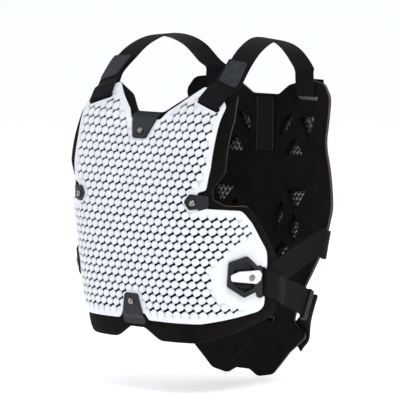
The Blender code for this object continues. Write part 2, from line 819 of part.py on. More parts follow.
def build_rivet(name, spot, seat, foot):
    """Domed rivet whose head sits at height seat and whose shank ends at height foot."""
    profile = bmesh.new()
    angles = [pi / 2 * i / RIVET_RINGS for i in range(RIVET_RINGS, -1, -1)]
    dome = [(RIVET_RADIUS * cos(angle), seat + RIVET_RIM + (RIVET_DOME - RIVET_RIM) * sin(angle))
            for angle in angles]
    dome[0] = (0.0, dome[0][1])
    points = dome + [(RIVET_RADIUS, seat), (RIVET_SHANK, seat), (RIVET_SHANK, foot), (0.0, foot)]
    verts = [profile.verts.new((x, 0.0, z)) for x, z in points]
    for start, end in zip(verts, verts[1:]):
        profile.edges.new((start, end))
    mesh = bpy.data.meshes.new(name)
    profile.to_mesh(mesh)
    profile.free()
    part = add_object(name, mesh, "rivet_metal")
    turned = part.modifiers.new("turned", "SCREW")
    turned.steps = RIVET_SIDES
    turned.render_steps = RIVET_SIDES
    turned.use_merge_vertices = True
    turned.merge_threshold = 0.00001
    part.matrix_world = front_frame(*spot)
    return part


def tongue_rivet_spot(side):
    """Pattern place of the rivet through a buckle's tongue."""
    x, y = front_spot(RING_PLACE, side)
    return x + side * TONGUE_RIVET_SHIFT, y


def build_rivets():
    """Rivets of the tabs and of the buckle tongues."""
    tab_seat = shell_top(0.0, 0.0) + LAYER_GAP + TAB_THICKNESS + LAYER_GAP
    build_rivet("neck_rivet", front_spot(NECK_RIVET), tab_seat, FIT_GAP)
    build_rivet("hem_rivet", front_spot(HEM_RIVET), tab_seat, FIT_GAP)
    tongue_seat = tongue_height() + TONGUE_THICKNESS + FIT_GAP
    for side, end in ((1, "left"), (-1, "right")):
        build_rivet("arm_rivet_" + end, front_spot(ARM_RIVET, side), tab_seat, FIT_GAP)
        build_rivet("tongue_rivet_" + end, tongue_rivet_spot(side), tongue_seat, FIT_GAP)


def flat_plate(name, loops, thickness, finish):
    """Plate cut from a flat 2D outline, standing on z = 0."""
    drawing = bpy.data.curves.new(name, "CURVE")
    drawing.dimensions = "2D"
    drawing.fill_mode = "BOTH"
    drawing.extrude = thickness / 2
    for loop in loops:
        line = drawing.splines.new("POLY")
        line.points.add(len(loop) - 1)
        for point, (x, y) in zip(line.points, loop):
            point.co = (x, y, 0.0, 1.0)
        line.use_cyclic_u = True
    guide = bpy.data.objects.new(name + "_outline", drawing)
    bpy.data.collections["chest_protector"].objects.link(guide)
    bpy.context.view_layer.update()
    mesh = bpy.data.meshes.new_from_object(guide.evaluated_get(bpy.context.evaluated_depsgraph_get()))
    bpy.data.objects.remove(guide, do_unlink=True)
    body = bmesh.new()
    body.from_mesh(mesh)
    bmesh.ops.remove_doubles(body, verts=body.verts, dist=1e-6)
    bmesh.ops.translate(body, verts=body.verts, vec=(0.0, 0.0, thickness / 2))
    bmesh.ops.recalc_face_normals(body, faces=body.faces)
    body.to_mesh(mesh)
    body.free()
    mesh.name = name
    return add_object(name, mesh, finish)


def ring_loop(side, inset):
    """Hexagon of a buckle ring, its upper corner towards the arm, drawn in from the outer size."""
    half_width = RING_WIDTH / 2 - inset
    half_height = RING_HEIGHT / 2 - inset
    corners = [(side * x * half_width, y * half_height, RING_ROUND) for x, y in RING_CORNERS]
    if side < 0:
        corners.reverse()
    return [tuple(point) for point in rounded_outline(corners)]


def ring_height():
    """Height of a buckle ring's underside."""
    return shell_top(0.0, 0.0) + LAYER_GAP


def tongue_height():
    """Height of a buckle tongue's underside."""
    return ring_height() + RING_THICKNESS + LAYER_GAP


def build_buckles():
    """Hexagonal rings with the white tongues across them, both moulded to the body's curve."""
    for side, end in ((1, "left"), (-1, "right")):
        centre = front_spot(RING_PLACE, side)
        loops = [[(x + centre[0], y + centre[1]) for x, y in ring_loop(side, inset)]
                 for inset in (0.0, RING_RIM)]
        name = "buckle_ring_" + end
        mesh = wrapped_sheet(name, loops[0], loops[1:],
                             lambda x, y: front_surface(x, y, ring_height()), SHELL_SAG)
        ring = add_object(name, mesh, "buckle_plastic")
        solidify(ring, RING_THICKNESS)
        soften(ring, RING_SOFT)
        corners = [(centre[0] + side * (x * TONGUE_WIDTH + TONGUE_SHIFT), centre[1] + y * TONGUE_HEIGHT,
                    TONGUE_ROUND) for x, y in TONGUE_CORNERS]
        if side < 0:
            corners.reverse()
        outline = [tuple(point) for point in rounded_outline(corners)]
        hole = circle_loop(tongue_rivet_spot(side), RIVET_SHANK + FIT_GAP)
        name = "buckle_tongue_" + end
        mesh = wrapped_sheet(name, outline, [hole],
                             lambda x, y: front_surface(x, y, tongue_height()), SHELL_SAG)
        solidify(add_object(name, mesh, "white_shell"), TONGUE_THICKNESS)


def window_loop(window, side):
    """Rounded leaf or triangle cut in the back pad."""
    x, y = back_spot(window, side)
    corners = []
    for i in range(window.sides):
        angle = pi / 2 + 2 * pi * i / window.sides
        across = window.wide * WINDOW_UNIT / 2 * cos(angle)
        up = window.tall * WINDOW_UNIT / 2 * sin(angle)
        turned_x = across * cos(window.turn) - up * sin(window.turn)
        turned_y = across * sin(window.turn) + up * cos(window.turn)
        corners.append((x + side * turned_x, y + turned_y, WINDOW_ROUND))
    return rounded_outline(corners, WINDOW_UNIT)


def build_back_pad():
    """Back backing with its windows and the strap slots."""
    outline = whole_outline(BACK_PAD_HALF, back_spot, PAD_ROUND)
    holes = [window_loop(window, side) for side in (1, -1) for window in BACK_WINDOWS]
    holes += [back_slot_loop(side, PAD_SLOT_WIDTH) for side in (1, -1)]
    mesh = wrapped_sheet("back_pad", outline, holes,
                         lambda x, y: back_surface(x, y, BACK_PAD_THICKNESS), INSERT_SAG, flip=True)
    part = add_object("back_pad", mesh, "pad_cloth")
    solidify(part, BACK_PAD_THICKNESS, offset=-1.0)


def build_back_insert():
    """Cellular impact plate behind the windows."""
    outline = whole_outline(BACK_INSERT_HALF, back_spot, PAD_ROUND)
    height = BACK_PAD_THICKNESS + LAYER_GAP
    mesh = wrapped_sheet("back_insert", outline, (),
                         lambda x, y: back_surface(x, y, height), INSERT_SAG, flip=True)
    part = add_object("back_insert", mesh, "cell_plate")
    solidify(part, INSERT_THICKNESS)


def build_back_shell():
    """Outer back plate over the impact plate."""
    outline = whole_outline(BACK_SHELL_HALF, back_spot, PAD_ROUND)
    holes = [back_slot_loop(side) for side in (1, -1)]
    height = BACK_PAD_THICKNESS + BACK_SHELL_LIFT
    mesh = wrapped_sheet("back_shell", outline, holes,
                         lambda x, y: back_surface(x, y, height), PAD_SAG, flip=True)
    part = add_object("back_shell", mesh, "white_shell")
    solidify(part, SHELL_THICKNESS)


def build_label():
    """Sewn label inside the back neck."""
    x, y = back_spot(LABEL_PLACE)
    corners = [(x + i * LABEL_WIDTH / 2, y + j * LABEL_HEIGHT / 2, LABEL_ROUND)
               for i, j in ((1, -1), (1, 1), (-1, 1), (-1, -1))]
    outline = rounded_outline(corners)
    height = -LAYER_GAP - LABEL_THICKNESS
    mesh = wrapped_sheet("label", outline, (),
                         lambda x, y: back_surface(x, y, height), SHELL_SAG, flip=True)
    part = add_object("label", mesh, "label_cloth")
    solidify(part, LABEL_THICKNESS)


class Band:
    """Smooth surface that a strap follows, through rows of three points across it."""

    def __init__(self, rows, hand, samples=12):
        rows = np.array([[list(point) for point in row] for row in rows])
        last = len(rows) - 1
        fine = []
        for i in range(last):
            before, start, end, after = (rows[min(max(i + k, 0), last)] for k in (-1, 0, 1, 2))
            for share in np.arange(samples) / samples:
                line = 2 * start + (end - before) * share
                bow = (2 * before - 5 * start + 4 * end - after) * share ** 2
                twist = (3 * start - before - 3 * end + after) * share ** 3
                fine.append((line + bow + twist) / 2)
        fine.append(rows[-1])
        self.rows = np.array(fine)
        self.hand = hand
        steps = np.linalg.norm(np.diff(self.rows[:, 1], axis=0), axis=1)
        self.lengths = np.concatenate(([0.0], np.cumsum(steps)))
        self.length = float(self.lengths[-1])

    def row(self, along):
        """Three points across at a length along the band, run on straight past its ends."""
        near = min(max(along, 0.0), self.length)
        i = min(int(np.searchsorted(self.lengths, near, side="right")), len(self.lengths) - 1)
        span = self.lengths[i] - self.lengths[i - 1]
        share = (along - self.lengths[i - 1]) / span
        return self.rows[i - 1] * (1 - share) + self.rows[i] * share

    def stops(self, start, end):
        """Places between two lengths, both left out, that let straight pieces follow the band."""
        places = np.linspace(start, end, ceil(abs(end - start) / BAND_STEP) + 1)
        middles = np.array([self.row(along)[1] for along in places])
        chosen = []
        last = 0
        for i in range(2, len(places)):
            chord = middles[i] - middles[last]
            passed = middles[last + 1:i] - middles[last]
            off = passed - np.outer(passed @ chord / (chord @ chord), chord)
            if np.linalg.norm(off, axis=1).max() > STRAP_SAG or np.linalg.norm(chord) > STRAP_LONGEST:
                last = i - 1
                chosen.append(float(places[last]))
        return chosen

    def point(self, sideways, along, out):
        """Point of the band at a place across it, with a height above it."""
        share = 2 * sideways / WEB_WIDTH
        blend = np.array((share * (share - 1) / 2, 1 - share * share, share * (share + 1) / 2))
        slope = np.array((share - 0.5, -2 * share, share + 0.5))
        near = self.row(along)
        travel = Vector(blend @ (self.row(along + BAND_PROBE) - self.row(along - BAND_PROBE)))
        normal = Vector(slope @ near).cross(travel).normalized() * self.hand
        return Vector(blend @ near) + normal * out


def pattern_row(point, spot, tilt, along, out=0.0):
    """Three points across a strap that lies on a pattern, measured from a slot."""
    row = []
    for sideways in (-WEB_WIDTH / 2, 0.0, WEB_WIDTH / 2):
        x = spot[0] + sideways * cos(tilt) - along * sin(tilt)
        y = spot[1] + sideways * sin(tilt) + along * cos(tilt)
        row.append(point(x, y, out))
    return row


def station_row(place, across):
    """Three points across a strap where it hangs free."""
    return [place + across * sideways for sideways in (-WEB_WIDTH / 2, 0.0, WEB_WIDTH / 2)]


def strip_mesh(name, rows):
    """Open strip through rows of points, from a grid."""
    columns = len(rows[0])
    strip = bmesh.new()
    bmesh.ops.create_grid(strip, x_segments=columns - 1, y_segments=len(rows) - 1, size=1.0)
    order = sorted(strip.verts, key=lambda vert: (round(vert.co.y, 5), round(vert.co.x, 5)))
    flat = [point for row in rows for point in row]
    for vert, point in zip(order, flat):
        vert.co = point
    mesh = bpy.data.meshes.new(name)
    strip.to_mesh(mesh)
    strip.free()
    return mesh


def add_strip(name, rows):
    """Webbing strip with its real thickness."""
    part = add_object(name, strip_mesh(name, rows), "black_webbing")
    solidify(part, WEB_THICKNESS, offset=0.0)
    return part


def fold_path(bar_width, low, high):
    """Path (along, out) of webbing that comes down over a bar, through the slot and back under it."""
    centre = SLOT_WIDTH / 2 + FIT_GAP
    path = [(SLOT_WIDTH / 2 + bar_width, high)]
    for corner, start in ((high - FOLD_RADIUS, pi / 2), (low + FOLD_RADIUS, pi)):
        for i in range(FOLD_STEPS + 1):
            angle = start + pi / 2 * i / FOLD_STEPS
            path.append((centre + FOLD_RADIUS * cos(angle), corner + FOLD_RADIUS * sin(angle)))
    path.append((SLOT_WIDTH / 2 + bar_width, low))
    return path


def shoulder_band(side):
    """Surface of a shoulder strap from the front slot, over the shoulder, to the back slot."""
    front = front_spot(SHOULDER_SLOT, side)
    back = back_spot(BACK_SLOT, side)
    rows = [pattern_row(front_point, front, side * SLOT_TILT, along) for along in LANDING]
    slope = Vector((1.0, 0.0, -SHOULDER_SLOPE * side)).normalized()
    for station in SHOULDER_ROUTE:
        place = Vector((side * station.spread * SHOULDER_SPREAD, (station.depth - 1.0) * SHOULDER_DEPTH,
                        (station.rise - 1.0) * SHOULDER_RISE))
        rows.append(station_row(place, slope))
    rows += [pattern_row(back_point, back, 0.0, along) for along in reversed(LANDING)]
    return Band(rows, 1.0)


def build_shoulder_straps():
    """Straps that pass through the front and back plates and fold back on themselves."""
    columns = (-WEB_WIDTH / 2, 0.0, WEB_WIDTH / 2)
    for side, end in ((1, "left"), (-1, "right")):
        band = shoulder_band(side)
        bar_end = SLOT_WIDTH / 2 + SHOULDER_BAR
        settled = bar_end + TAIL_SETTLE
        path = [(TAIL_LENGTH, TAIL_HEIGHT)]
        path += [(along, TAIL_HEIGHT) for along in band.stops(TAIL_LENGTH, settled)]
        path.append((settled, TAIL_HEIGHT))
        path += fold_path(SHOULDER_BAR, RUN_HEIGHT, OVER_BAR)
        far = band.length - SLOT_WIDTH / 2 - BACK_BAR
        for along in band.stops(bar_end, far):
            path.append((along, RUN_HEIGHT - 2 * RUN_HEIGHT * (along - bar_end) / (far - bar_end)))
        last = fold_path(BACK_BAR, -RUN_HEIGHT, BACK_OVER)
        path += [(band.length - along, out) for along, out in reversed(last)]
        path.append((band.length - BACK_TAIL_LENGTH, BACK_OVER))
        add_strip("shoulder_strap_" + end,
                  [[band.point(sideways, along, out) for sideways in columns] for along, out in path])
        corners = [(i * PATCH_WIDTH / 2, PATCH_PLACE + j * PATCH_LENGTH / 2, PATCH_ROUND)
                   for i, j in ((1, -1), (1, 1), (-1, 1), (-1, -1))]
        outline = rounded_outline(corners)
        height = TAIL_HEIGHT + WEB_THICKNESS / 2 + WEB_GAP
        name = "strap_patch_" + end
        mesh = wrapped_sheet(name, outline, (), lambda x, y: np.array(
            [band.point(i, j, height) for i, j in zip(x, y)]), STRAP_SAG)
        solidify(add_object(name, mesh, "patch_grey"), PATCH_THICKNESS)


def slider_centre(side):
    """Centre of the slider on the lower leg of a side strap."""
    return Vector((side * SLIDER_PLACE.spread * SHOULDER_SPREAD,
                   SLIDER_PLACE.depth * BACK_DEPTH - SHOULDER_DEPTH,
                   SLIDER_PLACE.rise * CHEST_HEIGHT - SHOULDER_RISE))


def side_bands(side):
    """Surfaces of the two legs of a side strap, from the slot to the wing and to the ear."""
    slot = front_spot(SIDE_SLOT, side)
    wing = back_spot(WING_PLACE, side)
    ear = back_spot(EAR_PLACE, side)
    upright = Vector((0.0, 0.0, 1.0))

    def leave(slant):
        return [pattern_row(front_point, (slot[0] + side * along, slot[1] + slant * along * along
                                          / (along + SLANT_START)), pi / 2, 0.0)
                for along in LANDING]

    upper = leave(UPPER_SLANT)
    for beyond, out in WING_WRAP:
        upper.append(pattern_row(back_point, (wing[0] + side * beyond, wing[1]), pi / 2, 0.0, out))
    lower = leave(LOWER_SLANT)
    centre = slider_centre(side)
    start = (lower[-1][1] + lower[-1][2]) / 2
    direction = (centre - start).normalized()
    across = (upright - direction * direction.z).normalized()
    for steps in (-2, -1, 0, 1, 2):
        lower.append(station_row(centre + direction * SLIDER_LENGTH * steps, across))
    lower += [pattern_row(back_point, ear, -side * EAR_TILT, along, BACK_PAD_THICKNESS)[::-side]
              for along in (EAR_RISE, -EAR_LAP / 2, -EAR_LAP)]
    return Band(upper, -side), Band(lower, -side), direction, across


def build_side_straps():
    """V straps through the side slots, with a slider on each lower leg."""
    columns = (-WEB_WIDTH / 2, 0.0, WEB_WIDTH / 2)
    for side, end in ((1, "left"), (-1, "right")):
        upper, lower, direction, across = side_bands(side)
        bar_end = SLOT_WIDTH / 2 + SIDE_BAR
        rows = []
        for along in [upper.length] + upper.stops(upper.length, bar_end):
            rows.append([upper.point(sideways, along, RUN_HEIGHT) for sideways in columns])
        for along, out in reversed(fold_path(SIDE_BAR, RUN_HEIGHT, OVER_BAR)):
            band = upper if out < OVER_BAR / 2 else lower
            rows.append([band.point(sideways, along, out) for sideways in columns])
        for along in lower.stops(bar_end, lower.length) + [lower.length]:
            over = 1.0 - float(smooth_share(along, LANDING[-2], LANDING[-1] + LANDING[-2]))
            out = RUN_HEIGHT + (OVER_BAR - RUN_HEIGHT) * over
            rows.append([lower.point(sideways, along, out) for sideways in columns])
        add_strip("side_strap_" + end, rows)
        build_slider("slider_" + end, side, direction, across)


def build_slider(name, side, direction, across):
    """Rectangular slider round the lower leg."""
    normal = across.cross(direction) * -side
    middle = slider_centre(side) + normal * RUN_HEIGHT
    turn = Matrix((across, normal, across.cross(normal))).transposed().to_4x4()
    inner = (WEB_WIDTH / 2 + SLIDER_GAP, WEB_THICKNESS / 2 + SLIDER_GAP)
    outer = (inner[0] + SLIDER_WALL, inner[1] + SLIDER_WALL)
    loops = [[(x * size[0], y * size[1]) for x, y in ((1, -1), (1, 1), (-1, 1), (-1, -1))]
             for size in (outer, inner)]
    part = flat_plate(name, loops, SLIDER_LENGTH, "buckle_plastic")
    part.matrix_world = Matrix.Translation(middle) @ turn @ Matrix.Translation((0, 0, -SLIDER_LENGTH / 2))
    soften(part, SLIDER_SOFT)


def main():
    """Build every part."""
    clear_scene()
    collection = bpy.data.collections.new("chest_protector")
    bpy.context.scene.collection.children.link(collection)
    build_front_pad()
    build_front_shell()
    build_tabs()
    build_rivets()
    build_buckles()
    build_back_pad()
    build_back_insert()
    build_back_shell()
    build_label()
    build_shoulder_straps()
    build_side_straps()
    for part in collection.objects:
        shade_round(part)


main()
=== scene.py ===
"""Chest protector for off-road riding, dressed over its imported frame.

A vented white plate on padded cloth covers the chest. A plain plate, a cellular impact plate and a
backing with cut windows cover the back. Webbing with rubber tabs, rivets and buckles joins them.

Metres, +Z up, front towards -Y, wearer's left towards +X. Panels are drawn as flat patterns and
wrapped on the body: a pattern point is (reach, rise), round the body and above the front hem.
"""

import logging
from dataclasses import dataclass, field
from enum import Enum
from math import ceil, cos, hypot, pi, radians, sin, tan
from typing import Callable, Iterable, Sequence

import bpy
import numpy as np
from mathutils import Matrix, Vector, geometry


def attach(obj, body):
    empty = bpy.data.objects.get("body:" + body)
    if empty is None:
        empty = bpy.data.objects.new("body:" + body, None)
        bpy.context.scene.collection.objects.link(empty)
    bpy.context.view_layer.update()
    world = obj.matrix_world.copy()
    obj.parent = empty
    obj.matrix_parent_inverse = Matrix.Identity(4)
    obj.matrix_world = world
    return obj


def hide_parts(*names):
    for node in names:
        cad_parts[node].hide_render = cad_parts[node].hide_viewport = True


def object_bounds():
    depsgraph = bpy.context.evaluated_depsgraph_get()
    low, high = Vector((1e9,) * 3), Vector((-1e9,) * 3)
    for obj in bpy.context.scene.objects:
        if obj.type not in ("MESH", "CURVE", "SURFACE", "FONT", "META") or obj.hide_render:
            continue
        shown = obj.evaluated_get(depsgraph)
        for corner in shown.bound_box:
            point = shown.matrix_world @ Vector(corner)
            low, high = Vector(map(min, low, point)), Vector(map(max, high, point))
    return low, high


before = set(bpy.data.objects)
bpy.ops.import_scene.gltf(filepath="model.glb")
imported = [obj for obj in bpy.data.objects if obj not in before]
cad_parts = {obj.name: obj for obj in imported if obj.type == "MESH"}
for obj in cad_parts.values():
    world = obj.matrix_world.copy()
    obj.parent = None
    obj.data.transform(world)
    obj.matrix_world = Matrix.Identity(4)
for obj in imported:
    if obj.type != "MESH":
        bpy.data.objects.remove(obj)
CAD_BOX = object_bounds()
LOG = logging.getLogger("chest_protector")
MM = 0.001

Array = np.ndarray
Wrap = Callable[[Array, Array, Array], Array]
Height = Callable[[Array, Array], Array | float]
Tree = bpy.types.NodeTree
Node = bpy.types.Node
Socket = bpy.types.NodeSocket
Piece = bpy.types.Object
Corner = tuple[float, float, float]


# ---------------------------------------------------------------- named options


class Side(Enum):
    """Side of the wearer, as the sign of X."""

    LEFT = 1
    RIGHT = -1

    @property
    def end(self) -> str:
        """Ending of the names of this side's pieces."""
        return "left" if self is Side.LEFT else "right"


class Slot(Enum):
    """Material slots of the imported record."""

    PAD = "pad_cloth"
    SHELL = "white_shell"
    TAB = "tab_rubber"
    RIVET = "rivet_metal"
    WEBBING = "black_webbing"
    PATCH = "patch_grey"
    CELLS = "cell_plate"
    BUCKLE = "buckle_plastic"
    LABEL = "label_cloth"


# ---------------------------------------------------------------- materials


def linear(srgb: str, alpha: float = 1.0) -> tuple[float, float, float, float]:
    """Turn an sRGB hex colour into linear light.

    Args:
        srgb: Colour as "#RRGGBB".
        alpha: Opacity.

    Returns:
        Red, green, blue and alpha.
    """
    channels = [int(srgb[i:i + 2], 16) / 255 for i in (1, 3, 5)]
    lit = [c / 12.92 if c <= 0.04045 else ((c + 0.055) / 1.055) ** 2.4 for c in channels]
    return (lit[0], lit[1], lit[2], alpha)


def add_node(tree: Tree, kind: str, settings: dict | None = None,
             links: dict | None = None) -> Node:
    """Add a node with its settings and links.

    Args:
        tree: Node tree of a material.
        kind: Node type without its "ShaderNode" prefix.
        settings: Values of input sockets, by name or number, or of the node's own properties.
        links: Output sockets to link, by the name or number of the input.

    Returns:
        The new node.
    """
    node = tree.nodes.new("ShaderNode" + kind)
    for key, value in (settings or {}).items():
        if isinstance(key, int) or key in node.inputs:
            node.inputs[key].default_value = value
        else:
            setattr(node, key, value)
    for key, socket in (links or {}).items():
        tree.links.new(socket, node.inputs[key])
    return node


@dataclass(frozen=True)
class Finish:
    """A real material with the way its surface was made; each kind adds its own pattern."""

    name: str
    colour: str
    second: str
    roughness: float
    metallic: float = 0.0
    ior: float = 1.5
    sheen: float = 0.0
    coat: float = 0.0
    specular: float = 0.5
    glow: float = 0.0

    def material(self) -> bpy.types.Material:
        """Return the finish as a Blender material, made once."""
        found = bpy.data.materials.get(self.name)
        if found:
            return found
        made = bpy.data.materials.new(self.name)
        made.use_nodes = True
        shader = made.node_tree.nodes["Principled BSDF"]
        shader.inputs["Base Color"].default_value = linear(self.colour)
        shader.inputs["Roughness"].default_value = self.roughness
        shader.inputs["Metallic"].default_value = self.metallic
        if not self.metallic:
            shader.inputs["IOR"].default_value = self.ior
        shader.inputs["Sheen Weight"].default_value = self.sheen
        shader.inputs["Coat Weight"].default_value = self.coat
        shader.inputs["Specular IOR Level"].default_value = self.specular
        shader.inputs["Emission Color"].default_value = linear(self.colour)
        shader.inputs["Emission Strength"].default_value = self.glow
        made.diffuse_color = linear(self.colour)
        self.pattern(made.node_tree, shader)
        return made

    def pattern(self, tree: Tree, shader: Node) -> None:
        """Add the surface's pattern to the tree."""

    def mottle(self, tree: Tree, size: float, low: float = 0.35,
               high: float = 0.65) -> Node:
        """Add soft spots of a real size.

        Args:
            tree: Node tree of the material.
            size: Width of a spot in metres.
            low: Noise value that gives 0.
            high: Noise value that gives 1.

        Returns:
            Node whose "Result" goes from 0 to 1.
        """
        place = add_node(tree, "TexCoord")
        noise = add_node(tree, "TexNoise", {"Scale": 1 / size, "Detail": 3.0},
                         {"Vector": place.outputs["Object"]})
        return add_node(tree, "MapRange", {"From Min": low, "From Max": high},
                        {"Value": noise.outputs["Fac"]})

    def tint(self, tree: Tree, shader: Node,
             share: Socket) -> None:
        """Blend from the first colour to the second by a share."""
        mix = add_node(tree, "Mix", {"data_type": "RGBA"}, {0: share})
        mix.inputs[6].default_value = linear(self.colour)
        mix.inputs[7].default_value = linear(self.second)
        tree.links.new(mix.outputs[2], shader.inputs["Base Color"])

    def wear(self, tree: Tree, shader: Node, share: Socket,
             less: float, more: float) -> None:
        """Change the roughness by a share, between two steps from the finish's own."""
        rough = add_node(tree, "MapRange", {"To Min": self.roughness + less, "To Max": self.roughness + more},
                         {"Value": share})
        tree.links.new(rough.outputs["Result"], shader.inputs["Roughness"])

    def bump(self, tree: Tree, shader: Node, height: Socket,
             depth: float) -> None:
        """Raise the surface by a height pattern of a real depth in metres."""
        bump = add_node(tree, "Bump", {"Distance": depth, "Strength": 1.0}, {"Height": height})
        tree.links.new(bump.outputs["Normal"], shader.inputs["Normal"])


@dataclass(frozen=True)
class MouldedPlastic(Finish):
    """Injection-moulded plastic: satin, with a fine etched grain, dull dusty spots at random and painted
    shade in its hollows.
    """

    grain: float = 0.6 * MM

    def pattern(self, tree: Tree, shader: Node) -> None:
        """Grey the hollows with painted shade and roughen the skin with the mould's grain."""
        # Painted shade: the point attribute greys the scales' grooves towards the second colour; the dust
        # mottle adds a little random grey.
        groove_shade = add_node(tree, "Attribute", {"attribute_name": "groove_shade"})
        dust = self.mottle(tree, 25 * MM)
        part = add_node(tree, "Math", {"operation": "MULTIPLY", 1: 0.10},
                        {0: dust.outputs["Result"]})
        share = add_node(tree, "Math", {"operation": "ADD", "use_clamp": True},
                         {0: groove_shade.outputs["Fac"], 1: part.outputs[0]})
        self.tint(tree, shader, share.outputs[0])
        self.wear(tree, shader, dust.outputs["Result"], 0.0, 0.12)
        # The etched grain of a mould is about 0.1 mm; it is drawn at 0.6 mm so that it shows.
        grain = self.mottle(tree, self.grain, 0.2, 0.8)
        self.bump(tree, shader, grain.outputs["Result"], 0.03 * MM)


@dataclass(frozen=True)
class SpacerCloth(Finish):
    """Knitted polyester spacer mesh: matte, with rows of small round holes."""

    hole_pitch: float = 2.4 * MM

    def pattern(self, tree: Tree, shader: Node) -> None:
        """Knit the holes in staggered rows, darken them with painted shade and vary the yarn's colour."""
        place = add_node(tree, "UVMap")
        # Spacer mesh has holes about 2 mm apart, so the pattern repeats every 2.4 mm.
        scaled = add_node(tree, "VectorMath", {"operation": "SCALE", "Scale": 2 * pi / self.hole_pitch},
                          {0: place.outputs["UV"]})
        split = add_node(tree, "SeparateXYZ", {}, {0: scaled.outputs["Vector"]})
        across = add_node(tree, "Math", {"operation": "COSINE"}, {0: split.outputs["X"]})
        up = add_node(tree, "Math", {"operation": "COSINE"}, {0: split.outputs["Y"]})
        both = add_node(tree, "Math", {"operation": "MULTIPLY"}, {0: across.outputs[0], 1: up.outputs[0]})
        hole = add_node(tree, "MapRange", {"From Min": 0.25, "From Max": 0.85},
                        {"Value": both.outputs[0]})
        fuzz = self.mottle(tree, 18 * MM)
        lit = add_node(tree, "Math", {"operation": "MULTIPLY", 1: 0.5}, {0: fuzz.outputs["Result"]})
        # Painted shade: the holes take the darker first colour.
        share = add_node(tree, "Math", {"operation": "SUBTRACT", "use_clamp": True},
                         {0: lit.outputs[0], 1: hole.outputs["Result"]})
        self.tint(tree, shader, share.outputs[0])
        depth = add_node(tree, "Math", {"operation": "SUBTRACT", 0: 1.0},
                         {1: hole.outputs["Result"]})
        self.bump(tree, shader, depth.outputs[0], 0.35 * MM)


@dataclass(frozen=True)
class CutFoam(Finish):
    """Die-cut closed-cell foam: dull, with the open cells of the cut."""

    def pattern(self, tree: Tree, shader: Node) -> None:
        """Speckle the cut with its cells, about 0.5 mm wide and drawn at 0.9 mm."""
        place = add_node(tree, "TexCoord")
        cells = add_node(tree, "TexVoronoi", {"Scale": 1 / (0.9 * MM)},
                         {"Vector": place.outputs["Object"]})
        self.tint(tree, shader, cells.outputs["Distance"])
        self.bump(tree, shader, cells.outputs["Distance"], 0.15 * MM)


@dataclass(frozen=True)
class Rubber(Finish):
    """Moulded thermoplastic rubber: soft satin skin with faint rub marks."""

    def pattern(self, tree: Tree, shader: Node) -> None:
        """Lighten the rubbed places and pebble the skin at 0.5 mm."""
        rubbed = self.mottle(tree, 9 * MM)
        self.tint(tree, shader, rubbed.outputs["Result"])
        self.wear(tree, shader, rubbed.outputs["Result"], -0.06, 0.08)
        grain = self.mottle(tree, 0.5 * MM, 0.2, 0.8)
        self.bump(tree, shader, grain.outputs["Result"], 0.04 * MM)


@dataclass(frozen=True)
class Webbing(Finish):
    """Woven polyester webbing: fine ribs along it, crossed by the weft, with a slight sheen."""

    rib: float = 2.0 * MM
    weft: float = 1.5 * MM

    def pattern(self, tree: Tree, shader: Node) -> None:
        """Weave ribs and weft from the strap's own lengths, with painted highlight on the raised threads and
        painted shade between them.
        """
        place = add_node(tree, "UVMap")
        split = add_node(tree, "SeparateXYZ", {}, {0: place.outputs["UV"]})
        # 40 mm webbing has about 20 ribs across, so 2 mm each, and a weft about every 0.75 mm,
        # which is drawn at 1.5 mm so that it shows.
        across = add_node(tree, "Math", {"operation": "MULTIPLY", 1: 2 * pi / self.rib},
                          {0: split.outputs["X"]})
        ribs = add_node(tree, "Math", {"operation": "COSINE"}, {0: across.outputs[0]})
        along = add_node(tree, "Math", {"operation": "MULTIPLY", 1: 2 * pi / self.weft},
                         {0: split.outputs["Y"]})
        lean = add_node(tree, "Math", {"operation": "MULTIPLY", 1: 0.5}, {0: across.outputs[0]})
        slanted = add_node(tree, "Math", {"operation": "ADD"}, {0: along.outputs[0], 1: lean.outputs[0]})
        picks = add_node(tree, "Math", {"operation": "SINE"}, {0: slanted.outputs[0]})
        weave = add_node(tree, "Math", {"operation": "MULTIPLY_ADD", 1: 0.45},
                         {0: picks.outputs[0], 2: ribs.outputs[0]})
        height = add_node(tree, "MapRange", {"From Min": -1.45, "From Max": 1.45},
                          {"Value": weave.outputs[0]})
        # Painted highlight and shade: the raised threads take the lighter second colour and the dips the
        # darker first.
        self.tint(tree, shader, height.outputs["Result"])
        self.bump(tree, shader, height.outputs["Result"], 0.22 * MM)


@dataclass(frozen=True)
class SatinCloth(Finish):
    """Damask-woven satin ribbon: very fine threads across, smooth to the eye."""

    def pattern(self, tree: Tree, shader: Node) -> None:
        """Weave threads 0.2 mm apart, drawn at 0.8 mm, with painted highlight on their crests."""
        place = add_node(tree, "UVMap")
        split = add_node(tree, "SeparateXYZ", {}, {0: place.outputs["UV"]})
        along = add_node(tree, "Math", {"operation": "MULTIPLY", 1: 2 * pi / (0.8 * MM)},
                         {0: split.outputs["Y"]})
        rows = add_node(tree, "Math", {"operation": "SINE"}, {0: along.outputs[0]})
        height = add_node(tree, "MapRange", {"From Min": -1.0}, {"Value": rows.outputs[0]})
        # Painted highlight: the thread crests are coloured lighter than the dips.
        self.tint(tree, shader, height.outputs["Result"])
        self.bump(tree, shader, height.outputs["Result"], 0.06 * MM)


@dataclass(frozen=True)
class TurnedMetal(Finish):
    """Pressed and nickel-plated brass: satin grey, with bright rubbed spots and fine turning marks."""

    def pattern(self, tree: Tree, shader: Node) -> None:
        """Brighten the rubbed places and mark the metal every 0.4 mm or so."""
        rubbed = self.mottle(tree, 3 * MM, 0.45, 0.75)
        self.tint(tree, shader, rubbed.outputs["Result"])
        self.wear(tree, shader, rubbed.outputs["Result"], 0.0, 0.15)
        grain = self.mottle(tree, 0.4 * MM, 0.2, 0.8)
        self.bump(tree, shader, grain.outputs["Result"], 0.02 * MM)


